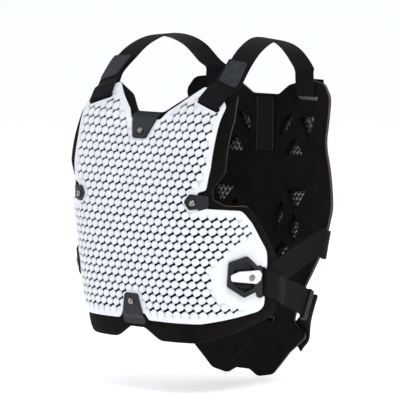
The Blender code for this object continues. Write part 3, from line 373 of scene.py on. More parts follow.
# White polypropylene, injection moulded: bright and satin; the cool grey is painted shade in its hollows and
# also greys its random dust
WHITE_SHELL = MouldedPlastic("polypropylene_moulded_white", "#F1F3F6", "#8E9AAC", 0.36, coat=0.05)
# Black acetal, injection moulded: even dark satin
BLACK_ACETAL = MouldedPlastic("acetal_moulded_black", "#101113", "#1C1D20", 0.38, specular=0.3)
# Clear-coated dark polycarbonate, injection moulded: glossy cells that catch small lights
DARK_CELLS = MouldedPlastic("polycarbonate_moulded_dark", "#1B1E22", "#0B0C0E", 0.14, ior=1.58, coat=0.35)
# Polyester spacer mesh, knitted: brownish black and matte
SPACER_MESH = SpacerCloth("polyester_spacer_mesh", "#0D0B0A", "#1D1916", 0.9, sheen=0.02, specular=0.08)
# EVA foam, die cut: beige-brown cut edge
CUT_EDGE = CutFoam("eva_foam_cut", "#6A5C4D", "#40372E", 0.9, specular=0.15)
# The same foam, flame laminated in black
DARK_EDGE = CutFoam("eva_foam_black", "#151311", "#0B0A0A", 0.9, specular=0.12)
# Thermoplastic rubber, moulded: blue-black and satin
TAB_RUBBER = Rubber("tpr_moulded_blue_black", "#13151B", "#1D2028", 0.45, specular=0.3)
PATCH_RUBBER = Rubber("tpr_moulded_grey", "#25272B", "#303338", 0.5, specular=0.3)
# Brass, nickel plated: warm grey with brighter rubs
RIVET_METAL = TurnedMetal("brass_nickel_plated", "#77736D", "#C4BFB6", 0.26, metallic=1.0)
# Polyester webbing, woven: black with lit ribs
BLACK_WEBBING = Webbing("polyester_webbing_woven", "#060607", "#141417", 0.8, sheen=0.03, specular=0.1)
# Polyester satin ribbon, woven: black and a little smoother than the webbing
LABEL_SATIN = SatinCloth("polyester_satin_woven", "#08080A", "#101013", 0.55, specular=0.10)
# Polyester sewing thread, twisted: catches a little more light than what it is sewn to
BLACK_THREAD = Webbing("polyester_thread_black", "#141417", "#26262A", 0.6, rib=0.5 * MM, weft=0.5 * MM,
                       specular=0.2)
GREY_THREAD = Webbing("polyester_thread_grey", "#3C3E42", "#54565A", 0.6, rib=0.5 * MM, weft=0.5 * MM,
                      specular=0.2)
# Painted studio paper, matte; lit from behind, as a sweep is
STUDIO_PAPER = Rubber("paper_matte_white", "#FBFBFB", "#F6F6F6", 0.9, glow=0.60)


# ---------------------------------------------------------------- body surfaces


def smooth_share(value: Array, start: float, end: float) -> Array:
    """Ease from 0 at start to 1 at end."""
    share = np.clip((value - start) / (end - start), 0.0, 1.0)
    return share * share * (3.0 - 2.0 * share)


def curve_through(places: Sequence[float], values: Sequence[float], at: Array) -> Array:
    """Read a smooth curve through table rows.

    Args:
        places: Where the rows stand.
        values: Their values.
        at: Places to read, kept within the table.

    Returns:
        The values there.
    """
    spots = np.asarray(places, dtype=float)
    heights = np.asarray(values, dtype=float)
    at = np.clip(at, spots[0], spots[-1])
    slopes = np.gradient(heights, spots)
    row = np.clip(np.searchsorted(spots, at) - 1, 0, len(spots) - 2)
    span = spots[row + 1] - spots[row]
    share = (at - spots[row]) / span
    rest = 1.0 - share
    start = (1.0 + 2.0 * share) * rest * rest * heights[row] + share * rest * rest * span * slopes[row]
    end = share * share * (3.0 - 2.0 * share) * heights[row + 1]
    return start + end - share * share * rest * span * slopes[row + 1]


class Section:
    """Horizontal section of the body, whose heading turns smoothly away from the centre line."""

    def __init__(self, turn: float, flatness: float, steps: int = 600, longest: float = 2.6) -> None:
        """Sum the section.

        Args:
            turn: Heading far round the side, in radians.
            flatness: How long the front stays flat before it turns.
            steps: Number of stored places.
            longest: Longest run, as a share of the wrap length.
        """
        self.runs = np.linspace(0.0, longest, steps)
        headings = turn * (1.0 - np.exp(-self.runs ** flatness))
        middles = (headings[1:] + headings[:-1]) / 2
        self.sides = np.concatenate(([0.0], np.cumsum(np.cos(middles)))) * self.runs[1]
        self.falls = np.concatenate(([0.0], np.cumsum(np.sin(middles)))) * self.runs[1]

    def side(self, run: Array) -> Array:
        """Sideways place at a run, as a share of the wrap length."""
        return np.sign(run) * np.interp(np.abs(run), self.runs, self.sides)

    def fall(self, run: Array) -> Array:
        """Distance that the section has turned away from its front at a run."""
        return np.interp(np.abs(run), self.runs, self.falls)


SHOULDER_RISE = 0.420
SHOULDER_DEPTH = 0.165
SHOULDER_SPREAD = 0.097
SURFACE_STEP = 0.0005


@dataclass
class BodyHalf:
    """One half of the body, on which flat patterns are wrapped."""

    levels: tuple[tuple[float, float, float], ...]
    section: Section
    reach: float
    height: float
    drop: float
    wrap: float
    depth: float
    facing: float

    def base(self, reach: Array, rise: Array) -> Array:
        """Points on the half's reference surface."""
        ups, wraps, leans = zip(*self.levels)
        share = (rise + self.drop) / self.height
        wrap = self.wrap * curve_through(ups, wraps, share)
        lean = self.depth * curve_through(ups, leans, share)
        run = reach / wrap
        across = wrap * self.section.side(run)
        depth = lean - self.facing * wrap * self.section.fall(run)
        return np.stack((across, depth - SHOULDER_DEPTH, rise - SHOULDER_RISE), axis=-1)

    def place(self, reach: Array, rise: Array, out: Array | float = 0.0) -> Array:
        """Wrap pattern points.

        Args:
            reach: Distances round the body from the centre line.
            rise: Heights above the front hem.
            out: Heights out from the surface, along its normal.

        Returns:
            Points in space, one row each.
        """
        reach = np.asarray(reach, dtype=float)
        rise = np.asarray(rise, dtype=float)
        across = self.base(reach + SURFACE_STEP, rise) - self.base(reach - SURFACE_STEP, rise)
        up = self.base(reach, rise + SURFACE_STEP) - self.base(reach, rise - SURFACE_STEP)
        normals = -self.facing * np.cross(across, up)
        normals /= np.linalg.norm(normals, axis=-1, keepdims=True)
        return self.base(reach, rise) + normals * np.asarray(out, dtype=float)[..., None]

    def point(self, reach: float, rise: float, out: float = 0.0) -> Vector:
        """One wrapped point."""
        return Vector(self.place(reach, rise, out))

    def spot(self, place: Sequence[float], side: Side = Side.LEFT) -> tuple[float, float]:
        """Pattern place in metres of a spot given in shares of reach and height."""
        return side.value * place[0] * self.reach, place[1] * self.height - self.drop

    def frame_at(self, x: float, y: float) -> Matrix:
        """Matrix on the pattern: X round the body, Z outward."""
        origin = self.point(x, y)
        across = (self.point(x + SURFACE_STEP, y) - origin).normalized()
        out = (self.point(x, y, SURFACE_STEP) - origin).normalized()
        turn = Matrix((across, out.cross(across), out)).transposed().to_4x4()
        return Matrix.Translation(origin) @ turn


FRONT = BodyHalf(
    levels=((-0.20, 0.84, 0.14), (0.00, 0.86, 0.06), (0.17, 0.92, -0.05), (0.28, 0.96, -0.07),
            (0.53, 1.08, -0.09), (0.71, 1.34, 0.05), (0.81, 1.37, 0.19), (0.88, 1.37, 0.35),
            (0.96, 1.36, 0.66), (1.04, 1.36, 1.00)),
    section=Section(radians(88), 2.8),
    reach=0.240, height=0.360, drop=0.0, wrap=0.150, depth=0.080, facing=-1.0)
BACK = BodyHalf(
    levels=((-0.03, 1.00, 0.814), (0.22, 1.00, 0.828), (0.45, 1.00, 0.883), (0.60, 1.00, 0.950),
            (0.72, 1.00, 0.985), (0.91, 1.00, 1.000), (1.04, 1.00, 0.983)),
    section=Section(radians(88), 2.0),
    reach=0.170, height=0.435, drop=0.078, wrap=0.235, depth=0.290, facing=1.0)

# Thicknesses and clearances
PAD = 0.0090
BACK_PAD = 0.0060
SHELL = 0.0026
INSERT = 0.0030
LAYER_GAP = 0.0008
WEB_GAP = 0.0011
WEB_WIDTH = 0.040
WEB_THICKNESS = 0.0018
SLOT_WIDTH = 0.005
SLOT_LENGTH = WEB_WIDTH + 0.003
STRAP_ROOM = WEB_THICKNESS + 2 * WEB_GAP
RUN_HEIGHT = WEB_GAP + WEB_THICKNESS / 2
TAIL_HEIGHT = RUN_HEIGHT + WEB_THICKNESS + WEB_GAP
OVER_BAR = STRAP_ROOM + SHELL + RUN_HEIGHT
BACK_SHELL_FOOT = BACK_PAD + 2 * LAYER_GAP + INSERT + 0.0005
BACK_OVER = BACK_SHELL_FOOT + SHELL + RUN_HEIGHT
RIVET_HOLE = 2.1 * MM
RIM_RINGS = (0.3 * MM, 0.9 * MM)
HEX_ROW = 0.866

# Places on the patterns, as shares of reach and height
SHOULDER_SLOT = (0.411, 0.918)
SIDE_SLOT = (0.858, 0.244)
RING_PLACE = (0.717, 0.270)
NECK_RIVET = (0.0, 0.817)
HEM_RIVET = (0.0, 0.161)
ARM_RIVET = (0.433, 0.561)
BACK_SLOT = (0.482, 0.944)
SLOT_TILT = radians(-17.4)
TONGUE_RIVET_SHIFT = 0.008


# ---------------------------------------------------------------- flat patterns


def round_corner(before: Vector, corner: Vector, after: Vector, radius: float, step: float) -> list[Vector]:
    """Points of the arc that rounds one corner.

    Args:
        before: The corner before it.
        corner: The corner.
        after: The corner after it.
        radius: Radius wanted; a short side makes it smaller.
        step: Longest step along the arc.

    Returns:
        Points from the side before to the side after.
    """
    to_before = (before - corner).normalized()
    to_after = (after - corner).normalized()
    half = to_before.angle(to_after) / 2
    room = 0.48 * min((before - corner).length, (after - corner).length)
    setback = min(radius / tan(half), room)
    radius = setback * tan(half)
    centre = corner + (to_before + to_after).normalized() * (setback / cos(half))
    first = corner + to_before * setback - centre
    sweep = pi - 2 * half
    turn = 1.0 if first.y * to_before.x > first.x * to_before.y else -1.0
    steps = max(2, ceil(radius * sweep / step))
    return [centre + Matrix.Rotation(turn * sweep * i / steps, 2) @ first for i in range(steps + 1)]


def rounded_outline(corners: Sequence[Corner], longest: float = 0.004, step: float = 0.0015) -> Array:
    """Round each (x, y, radius) corner and divide long sides.

    Args:
        corners: Corners in order.
        longest: Longest straight step.
        step: Longest step on an arc.

    Returns:
        Closed outline, one point a row, without repeats.
    """
    places = [Vector(corner[:2]) for corner in corners]
    count = len(places)
    points: list[Vector] = []
    for i, corner in enumerate(corners):
        points += round_corner(places[i - 1], places[i], places[(i + 1) % count], corner[2], step)
    divided: list[Vector] = []
    for start, end in zip(points, points[1:] + points[:1]):
        length = (end - start).length
        if length < 1e-5:
            continue
        pieces = ceil(length / longest)
        divided += [start.lerp(end, i / pieces) for i in range(pieces)]
    return np.array([list(point) for point in divided])


def sided_outline(corners: Sequence[Corner], side: Side, longest: float, step: float) -> Array:
    """Round corners that are laid out for one side, so that the outline always turns left."""
    return rounded_outline(list(corners)[::side.value], longest, step)


def half_outline(half: Sequence[Corner], body: BodyHalf, unit: float = 0.030) -> Array:
    """Mirror a half outline, given in shares, about the centre line and round it."""
    right = [(*body.spot(corner), corner[2] * unit) for corner in half]
    left = [(-x, y, radius) for x, y, radius in reversed(right)]
    return rounded_outline(right + left)


def circle(spot: Sequence[float], radius: float, sides: int = 20) -> Array:
    """Closed round outline."""
    angles = 2 * pi * np.arange(sides) / sides
    return np.stack((spot[0] + radius * np.cos(angles), spot[1] + radius * np.sin(angles)), axis=1)


def strap_slot(spot: Sequence[float], tilt: float, length: float = SLOT_LENGTH,
               width: float = SLOT_WIDTH) -> Array:
    """Closed outline of a round-ended slot with its centre at a spot."""
    radius = width / 2
    half = length / 2 - radius
    angles = np.linspace(-pi / 2, pi / 2, 9)
    cap = np.stack((half + radius * np.cos(angles), radius * np.sin(angles)), axis=1)
    side = np.linspace(half, -half, 12)[1:-1]
    top = np.stack((side, np.full_like(side, radius)), axis=1)
    loop = np.concatenate((cap, top, -cap, -top))
    turn = np.array(((cos(tilt), sin(tilt)), (-sin(tilt), cos(tilt))))
    return loop @ turn + np.array(spot)


def inside(points: Array, loop: Array) -> Array:
    """Which points lie inside a closed flat loop."""
    result = np.zeros(len(points), dtype=bool)
    for (x0, y0), (x1, y1) in zip(loop, np.roll(loop, -1, axis=0)):
        if y0 == y1:
            continue
        crosses = (points[:, 1] > y0) != (points[:, 1] > y1)
        result ^= crosses & (points[:, 0] < x0 + (points[:, 1] - y0) * (x1 - x0) / (y1 - y0))
    return result


def edge_distance(points: Array, loops: Iterable[Array]) -> Array:
    """Distance from each point to the nearest side of any loop."""
    nearest = np.full(len(points), np.inf)
    for loop in loops:
        for start, end in zip(loop, np.roll(loop, -1, axis=0)):
            along = end - start
            share = np.clip((points - start) @ along / max(along @ along, 1e-12), 0.0, 1.0)
            nearest = np.minimum(nearest, np.hypot(*(points - start - share[:, None] * along).T))
    return nearest


def outside_distance(points: Array, loop: Array) -> Array:
    """Distance outside a closed loop, and 0 within it."""
    return np.where(inside(points, loop), 0.0, edge_distance(points, [loop]))


def inset_points(loops: Sequence[Array], depths: Sequence[float]) -> Array:
    """Points at given distances inside an outline and outside its holes.

    Args:
        loops: Outline, then holes.
        depths: Distances into the panel.

    Returns:
        Points that keep those distances.
    """
    found = []
    for i, loop in enumerate(loops):
        ahead, behind = np.roll(loop, -1, axis=0), np.roll(loop, 1, axis=0)
        area = np.sum(loop[:, 0] * ahead[:, 1] - ahead[:, 0] * loop[:, 1])
        along = ahead - behind
        inward = np.stack((-along[:, 1], along[:, 0]), axis=1)
        inward /= np.linalg.norm(inward, axis=1, keepdims=True)
        inward *= np.sign(area) * (1.0 if i == 0 else -1.0)
        for depth in depths:
            ring = loop + inward * depth
            found.append(ring[edge_distance(ring, loops) > 0.9 * depth])
    points = np.concatenate(found)
    keep = inside(points, loops[0])
    for hole in loops[1:]:
        keep &= ~inside(points, hole)
    return points[keep]


def lattice_points(outline: Array, pitch: float) -> Array:
    """Points of a triangular lattice over an outline's box."""
    low, high = outline.min(axis=0), outline.max(axis=0)
    row_pitch = pitch * HEX_ROW
    rows = np.arange(ceil((high[1] - low[1]) / row_pitch) + 1)
    columns = np.arange(ceil((high[0] - low[0]) / pitch) + 1)
    x, y = np.meshgrid(columns * pitch, rows * row_pitch)
    x = x + (rows % 2)[:, None] * pitch / 2
    return np.stack((x.ravel() + low[0], y.ravel() + low[1]), axis=1)


def spaced_inner(loops: Sequence[Array], pitch: float, depths: Sequence[float]) -> Array:
    """Inner points of a panel: rings along its edges and a lattice between them."""
    rings = inset_points(loops, depths) if depths else np.empty((0, 2))
    grid = lattice_points(loops[0], pitch)
    keep = inside(grid, loops[0])
    for hole in loops[1:]:
        keep &= ~inside(grid, hole)
    grid = grid[keep]
    clear = (max(depths) if depths else 0.0) + 0.35 * pitch
    return np.concatenate((rings, grid[edge_distance(grid, loops) > clear]))


def fill_pattern(loops: Sequence[Array], inner: Array, cut: Callable[[Array], Array] | None = None
                 ) -> tuple[Array, Array]:
    """Triangulate an outline with holes through its inner points.

    Args:
        loops: Outline, then holes.
        inner: Points within it.
        cut: Says which of the given points lie in a hole; left out, the loops after the first tell.

    Returns:
        Flat points, and triangles that turn left.
    """
    corners = np.concatenate(list(loops) + [inner])
    edges = []
    first = 0
    for loop in loops:
        edges += [(first + i, first + (i + 1) % len(loop)) for i in range(len(loop))]
        first += len(loop)
    points, _, faces, _, _, _ = geometry.delaunay_2d_cdt([Vector(p) for p in corners], edges, [], 1, 1e-7)
    flat = np.array([list(point) for point in points])
    tris = np.array([face for face in faces if len(face) == 3])
    middles = flat[tris].mean(axis=1)
    if cut:
        keep = ~cut(middles)
    else:
        keep = np.ones(len(tris), dtype=bool)
        for hole in loops[1:]:
            keep &= ~inside(middles, hole)
    tris = tris[keep]
    used = np.unique(tris)
    order = np.zeros(len(flat), dtype=int)
    order[used] = np.arange(len(used))
    return flat[used], order[tris]


def add_mesh(name: str, points: Array, faces: Sequence[Sequence[int]], finishes: Sequence[Finish],
             kinds: Array | None = None, uvs: Array | None = None, sharp: float = radians(55)
             ) -> Piece:
    """Make a smooth-shaded mesh object.

    Args:
        name: Name of the piece.
        points: Vertices, one a row.
        faces: Vertex numbers of each face.
        finishes: Its finishes.
        kinds: Number of the finish of each face.
        uvs: Flat place of each vertex, in metres.
        sharp: Angle above which an edge stays sharp.

    Returns:
        The object, linked to the scene.
    """
    mesh = bpy.data.meshes.new(name)
    mesh.from_pydata(np.asarray(points).tolist(), [], [tuple(int(i) for i in face) for face in faces])
    for finish in finishes:
        mesh.materials.append(finish.material())
    if kinds is not None:
        mesh.polygons.foreach_set("material_index", np.asarray(kinds, dtype=np.int32))
    if uvs is not None:
        corner = np.empty(len(mesh.loops), dtype=np.int32)
        mesh.loops.foreach_get("vertex_index", corner)
        layer = mesh.uv_layers.new(name="UVMap")
        layer.data.foreach_set("uv", np.asarray(uvs, dtype=np.float32)[corner].ravel())
    mesh.validate()
    mesh.shade_smooth()
    mesh.set_sharp_from_angle(angle=sharp)
    piece = bpy.data.objects.new(name, mesh)
    bpy.context.scene.collection.objects.link(piece)
    return piece


def settle(piece: Piece, slot: Slot, *nodes: str) -> Piece:
    """Hang a piece on the frame, name the nodes that it stands for, and report it."""
    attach(piece, "root")
    if nodes:
        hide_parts(*nodes)
    LOG.info("%-22s %6d faces, %s", piece.name, len(piece.data.polygons), ", ".join(nodes) or "detail")
    return piece


@dataclass
class Panel:
    """Closed sheet of material cut from a flat pattern and wrapped on what carries it.

    The heights of its outer face and its underside come from flat points and their distance to the rims.
    """

    name: str
    wrap: Wrap
    loops: list[Array]
    inner: Array
    outer: Height
    under: Height
    flip: bool = False
    rims: list[Array] | None = None
    cut: Callable[[Array], Array] | None = None
    coarse: Array | None = None
    # Share of painted shade at flat points, for the grooves of a moulded plate.
    groove_shade: Callable[[Array], Array] | None = None

    def wrapped(self, flat: Array, height: Height) -> Array:
        """Wrap flat points at the heights of one face."""
        edge = edge_distance(flat, self.rims or self.loops)
        return self.wrap(flat[:, 0], flat[:, 1], height(flat, edge))

    def build(self, finishes: Sequence[Finish], wall_of: Callable[[Array], Array] | None = None) -> Piece:
        """Make the solid panel.

        Args:
            finishes: Finishes of the faces, and of the walls where there are more.
            wall_of: Gives the finish number of walls at given flat points; left out, all have the last.

        Returns:
            The new object.
        """
        flat, tris = fill_pattern(self.loops, self.inner, self.cut)
        back, back_tris = flat, tris
        match = np.arange(len(flat))
        starts = tris.ravel()
        ends = np.roll(tris, -1, axis=1).ravel()
        rim = ~np.isin(starts * len(flat) + ends, ends * len(flat) + starts)
        starts, ends = starts[rim], ends[rim]
        if self.coarse is not None:
            back, back_tris = fill_pattern(self.loops, self.coarse, self.cut)
            known = {tuple(key): i for i, key in enumerate(np.round(back * 1e6).astype(int).tolist())}
            for i in np.unique(starts):
                match[i] = known[tuple(np.round(flat[i] * 1e6).astype(int).tolist())]
        count = len(flat)
        walls = np.stack((ends, starts, match[starts] + count, match[ends] + count), axis=1)
        turn = -1 if self.flip else 1
        outer, under, walls = tris[:, ::turn], back_tris[:, ::-turn] + count, walls[:, ::turn]
        points = np.concatenate((self.wrapped(flat, self.outer), self.wrapped(back, self.under)))
        kinds = np.zeros(len(outer) + len(under) + len(walls), dtype=int)
        middles = (flat[starts] + flat[ends]) / 2
        kinds[-len(walls):] = wall_of(middles) if wall_of else len(finishes) - 1
        faces = outer.tolist() + under.tolist() + walls.tolist()
        piece = add_mesh(self.name, points, faces, finishes, kinds, np.concatenate((flat, back)))
        # Painted shade goes on as a point attribute that the material reads.
        if self.groove_shade:
            layer = piece.data.attributes.new("groove_shade", "FLOAT", "POINT")
            values = np.concatenate((self.groove_shade(flat), np.zeros(len(back))))
            layer.data.foreach_set("value", values.astype(np.float32))
        return piece


def rolled(distance: Array, radius: float, depth: float | None = None) -> Array:
    """Fall of a rounded rim at a distance from its edge: a quarter round of a radius and depth."""
    share = np.clip(1.0 - distance / radius, 0.0, 1.0)
    return (radius if depth is None else depth) * (1.0 - np.sqrt(1.0 - share * share))


# ---------------------------------------------------------------- front half


@dataclass
class ScaleLattice:
    """Hexagonal lattice of round scales with a slot from corner to corner above each."""

    pitch: float = 12.4 * MM
    row: float = 10.8 * MM
    ring_radii: tuple[float, ...] = (2.2 * MM, 3.9 * MM, 4.7 * MM, 5.45 * MM)
    ring_sides: tuple[int, ...] = (6, 12, 12, 12)
    profile: tuple[tuple[float, float], ...] = (
        (0.0, 0.85), (2.2, 0.98), (3.9, 1.25), (4.7, 1.10), (5.45, 0.05), (6.4, 0.0))
    sunk: float = 0.60 * MM
    dot: float = 2.15 * MM
    bar: float = 1.55 * MM
    thin_bar: float = 1.10 * MM

    def centres(self, outline: Array) -> Array:
        """Centres of all scales within an outline's box, with the row's parity in a third column."""
        low, high = outline.min(axis=0), outline.max(axis=0)
        rows = np.arange(int(low[1] / self.row) - 1, ceil(high[1] / self.row) + 2)
        columns = np.arange(int(low[0] / self.pitch) - 1, ceil(high[0] / self.pitch) + 2)
        x, y = np.meshgrid(columns * self.pitch, rows * self.row)
        odd = np.repeat((rows % 2)[:, None], len(columns), axis=1)
        return np.stack(((x + odd * self.pitch / 2).ravel(), y.ravel(), odd.ravel()), axis=1)

    def nearest(self, points: Array) -> tuple[Array, Array]:
        """Nearest scale centre of each point, and its row's parity."""
        best = np.full(len(points), np.inf)
        centre = np.zeros_like(points)
        parity = np.zeros(len(points), dtype=int)
        base = np.floor(points[:, 1] / self.row).astype(int)
        for rows in (base, base + 1):
            odd = rows % 2
            shift = odd * self.pitch / 2
            x = np.round((points[:, 0] - shift) / self.pitch) * self.pitch + shift
            y = rows * self.row
            gap = np.hypot(points[:, 0] - x, points[:, 1] - y)
            closer = gap < best
            best = np.where(closer, gap, best)
            centre[closer] = np.stack((x, y), axis=1)[closer]
            parity[closer] = odd[closer]
        return centre, parity

    def height(self, points: Array) -> Array:
        """Height of the scales' relief over the groove floor."""
        centre, _ = self.nearest(points)
        gap = np.hypot(*(points - centre).T) / MM
        radii, heights = zip(*self.profile)
        return np.interp(gap, radii, heights) * MM

    def slot_shape(self, thin: bool) -> Array:
        """Dumbbell outline of a slot about its own middle, along X."""
        half = hypot(self.pitch / 2, self.pitch / 2 * tan(radians(30))) / 2
        waist = self.thin_bar if thin else self.bar
        bite = np.arcsin(waist / self.dot)
        angles = np.linspace(-pi + bite, pi - bite, 7)
        cap = np.stack((half + self.dot * np.cos(angles), self.dot * np.sin(angles)), axis=1)
        return np.concatenate((cap, -cap))

    def slot_middle(self, centres: Array) -> Array:
        """Middle of the slot at the upper left of each scale."""
        return centres[:, :2] + np.array((-self.pitch / 4, self.row / 2))

    def slot_loops(self, centres: Array) -> list[Array]:
        """Outlines of the slots of given scales, which rise to the wearer's left at 30 degrees."""
        turn = np.array(((cos(pi / 6), sin(pi / 6)), (-sin(pi / 6), cos(pi / 6))))
        shapes = [self.slot_shape(thin) @ turn for thin in (False, True)]
        return [shapes[int(odd)] + middle
                for middle, odd in zip(self.slot_middle(centres), centres[:, 2])]


FRONT_SHELL_HALF = (
    (0.088, 0.114, 0.13), (0.113, 0.089, 0.20), (0.442, 0.086, 2.00), (0.858, 0.128, 0.47),
    (0.888, 0.367, 0.70), (0.783, 0.480, 1.00), (0.717, 0.530, 0.47), (0.508, 0.539, 0.13),
    (0.458, 0.528, 0.10), (0.458, 0.600, 0.10), (0.508, 0.611, 0.17), (0.525, 0.694, 1.30),
    (0.525, 0.917, 0.27), (0.471, 0.953, 0.23), (0.325, 0.986, 0.23), (0.250, 0.944, 0.80),
    (0.150, 0.897, 0.50), (0.113, 0.864, 0.17))


# Where the front plate stands off for a strap: full within the first distance, none past the second
SHOULDER_LIFT = (0.029, 0.059)
SIDE_LIFT = (0.026, 0.056)
BESIDE_LIFT = (0.0, 0.0095)


def shell_lift(reach: Array, rise: Array) -> Array:
    """Height of the front plate's inner face, raised where a strap passes under it."""
    x, y = FRONT.spot(SHOULDER_SLOT)
    far = np.hypot(np.abs(reach) - x, rise - y)
    shoulder = 1.0 - smooth_share(far, *SHOULDER_LIFT)
    x, y = FRONT.spot(SIDE_SLOT)
    level = 1.0 - smooth_share(np.abs(rise - y), *SIDE_LIFT)
    beside = 1.0 - smooth_share(x - np.abs(reach) + SLOT_WIDTH / 2, *BESIDE_LIFT)
    return LAYER_GAP + (STRAP_ROOM - LAYER_GAP) * np.maximum(shoulder, level * beside)


@dataclass
class FrontShell:
    """White vented plate: scales with slots between them, a plain rim and plain seats."""

    lattice: ScaleLattice = field(default_factory=ScaleLattice)
    plain_rim: float = 6.5 * MM
    fade: float = 2.5 * MM
    edge_round: float = 0.9 * MM
    slot_clear: float = 0.6 * MM
    thinning: float = 0.8 * MM
    seat_margin: float = 1.5 * MM
    point_clear: float = 0.28 * MM
    groove_depth: float = 0.6 * MM
    # Strength of the painted shade in the scales' grooves.
    groove_shade_strength: float = 0.42
    fold_seat: tuple[float, float, float] = (0.011, 0.046, 0.030)
    buckle_seat: tuple[Corner, ...] = (
        (-0.004, 0.046, 0.006), (-0.046, 0.008, 0.010), (-0.040, -0.026, 0.008), (-0.014, -0.043, 0.008),
        (0.060, -0.050, 0.004), (0.060, 0.060, 0.004))

    def outline(self) -> Array:
        """Outline of the plate."""
        return half_outline(FRONT_SHELL_HALF, FRONT)

    def fixed_holes(self) -> list[Array]:
        """Strap slots and rivet holes."""
        holes = []
        for side in Side:
            holes.append(strap_slot(FRONT.spot(SHOULDER_SLOT, side), side.value * SLOT_TILT))
            holes.append(strap_slot(FRONT.spot(SIDE_SLOT, side), pi / 2))
            holes.append(circle(FRONT.spot(ARM_RIVET, side), RIVET_HOLE))
            holes.append(circle(tongue_rivet_spot(side), RIVET_HOLE))
        return holes + [circle(FRONT.spot(spot), RIVET_HOLE) for spot in (NECK_RIVET, HEM_RIVET)]

    def seats(self) -> list[Array]:
        """Plain places: under the tabs, round the buckles and where the shoulder straps turn."""
        seats = [tab.outline() for tab in front_tabs()]
        for side in Side:
            x, y = FRONT.spot(RING_PLACE, side)
            corners = [(x + side.value * cx, y + cy, radius) for cx, cy, radius in self.buckle_seat]
            seats.append(rounded_outline(corners))
            spot = FRONT.spot(SHOULDER_SLOT, side)
            tilt = side.value * SLOT_TILT
            up, length, width = self.fold_seat
            centre = (spot[0] - up * sin(tilt), spot[1] + up * cos(tilt))
            seats.append(strap_slot(centre, tilt, length, width))
        return seats

    def build(self) -> Piece:
        """Cut, raise and wrap the plate."""
        outline = self.outline()
        fixed = self.fixed_holes()
        seats = self.seats()

        def plainness(points: Array) -> Array:
            """Distance into the scaled field, from the rim's or a seat's edge."""
            field_depth = edge_distance(points, [outline]) - self.plain_rim
            for seat in seats:
                field_depth = np.minimum(field_depth, outside_distance(points, seat) - self.seat_margin)
            return field_depth

        cells = self.lattice.centres(outline)
        cells = cells[inside(cells[:, :2], outline)]
        loops = self.lattice.slot_loops(cells)
        tips = np.concatenate([loop[[3, 10]] for loop in loops])
        free = plainness(tips).reshape(-1, 2).min(axis=1) > -self.slot_clear
        free &= inside(tips, outline).reshape(-1, 2).all(axis=1)
        slots = [loop for loop, kept in zip(loops, free) if kept]
        cut_cells = {tuple(np.round(c[:2] * 1e5).astype(int)) for c, kept in zip(cells, free) if kept}
        LOG.info("front plate: %d scales, %d slots", len(cells), len(slots))

        inner = [cells[:, :2]]
        for radius, sides in zip(self.lattice.ring_radii, self.lattice.ring_sides):
            ring = circle((0.0, 0.0), radius, sides)
            inner.append((cells[:, None, :2] + ring[None]).reshape(-1, 2))
        inner = np.concatenate(inner)
        inner = inner[inside(inner, outline)]
        depths = (self.edge_round * 0.4, self.edge_round, self.plain_rim * 0.6)
        rims = inset_points([outline] + fixed, depths)
        inner = inner[edge_distance(inner, [outline] + fixed) > self.edge_round + 1.2 * MM]
        for hole in fixed:
            inner = inner[~inside(inner, hole)]
        inner = np.concatenate((inner, rims))
        inner = inner[~self.in_slots(inner, cut_cells, self.point_clear)]
        coarse = spaced_inner([outline] + fixed, 9 * MM, ())
        coarse = coarse[~self.in_slots(coarse, cut_cells, 0.8 * MM)]

        def relief(points: Array) -> tuple[Array, Array]:
            """Height over the plate's plain face, and how deep in a groove the place lies, which sets its
            painted shade.
            """
            share = smooth_share(plainness(points), 0.0, self.fade)
            raised = self.lattice.height(points)
            groove_shade = np.clip(1.0 - raised / self.groove_depth, 0.0, 1.0)
            return (raised - self.lattice.sunk) * share, groove_shade * share

        def outer(points: Array, edge: Array) -> Array:
            """Scales over the plate's own thickness, and a rounded rim."""
            return shell_lift(*points.T) + SHELL + relief(points)[0] - rolled(edge, self.edge_round)

        def cut(points: Array) -> Array:
            """Which points lie in a slot or another hole."""
            found = self.in_slots(points, cut_cells, 0.0)
            for hole in fixed:
                found |= inside(points, hole)
            return found

        def under(points: Array, edge: Array) -> Array:
            """Underside, where the plate is thinner behind its scales."""
            share = smooth_share(plainness(points), 0.0, self.fade)
            return shell_lift(*points.T) + self.thinning * share

        # Grooves get painted shade by their depth below the scales.
        panel = Panel("front_plate", FRONT.place, [outline] + fixed + slots, inner, outer, under,
                      rims=[outline] + fixed, cut=cut, coarse=coarse,
                      groove_shade=lambda points: self.groove_shade_strength * relief(points)[1])
        return settle(panel.build([WHITE_SHELL]), Slot.SHELL, "front_shell")

    def in_slots(self, points: Array, cut_cells: set, grow: float) -> Array:
        """Which points lie in a cut slot, or within a distance of its sides.

        Args:
            points: Flat points.
            cut_cells: Rounded centres of the scales whose slots are cut.
            grow: Distance round the slots that counts as well.

        Returns:
            One truth value a point.
        """
        found = np.zeros(len(points), dtype=bool)
        long = self.lattice.slot_shape(False).max() + grow
        turn = np.array(((cos(pi / 6), -sin(pi / 6)), (sin(pi / 6), cos(pi / 6))))
        for shift in ((0.0, 0.0), (1.0, 0.0), (-1.0, 0.0), (0.5, -1.0), (-0.5, -1.0)):
            probe = points + np.array(shift) * (self.lattice.pitch, self.lattice.row)
            centre, parity = self.lattice.nearest(probe)
            keys = np.round(centre * 1e5).astype(int)
            real = np.array([tuple(key) in cut_cells for key in keys])
            local = (points - self.lattice.slot_middle(centre)) @ turn
            near = real & (np.abs(local[:, 0]) < long) & (np.abs(local[:, 1]) < self.lattice.dot + grow)
            for thin in (False, True):
                shape = self.lattice.slot_shape(thin)
                pick = np.flatnonzero(near & (parity == int(thin)))
                if len(pick):
                    hit = inside(local[pick], shape)
                    if grow:
                        hit |= edge_distance(local[pick], [shape]) < grow
                    found[pick] |= hit
        return found


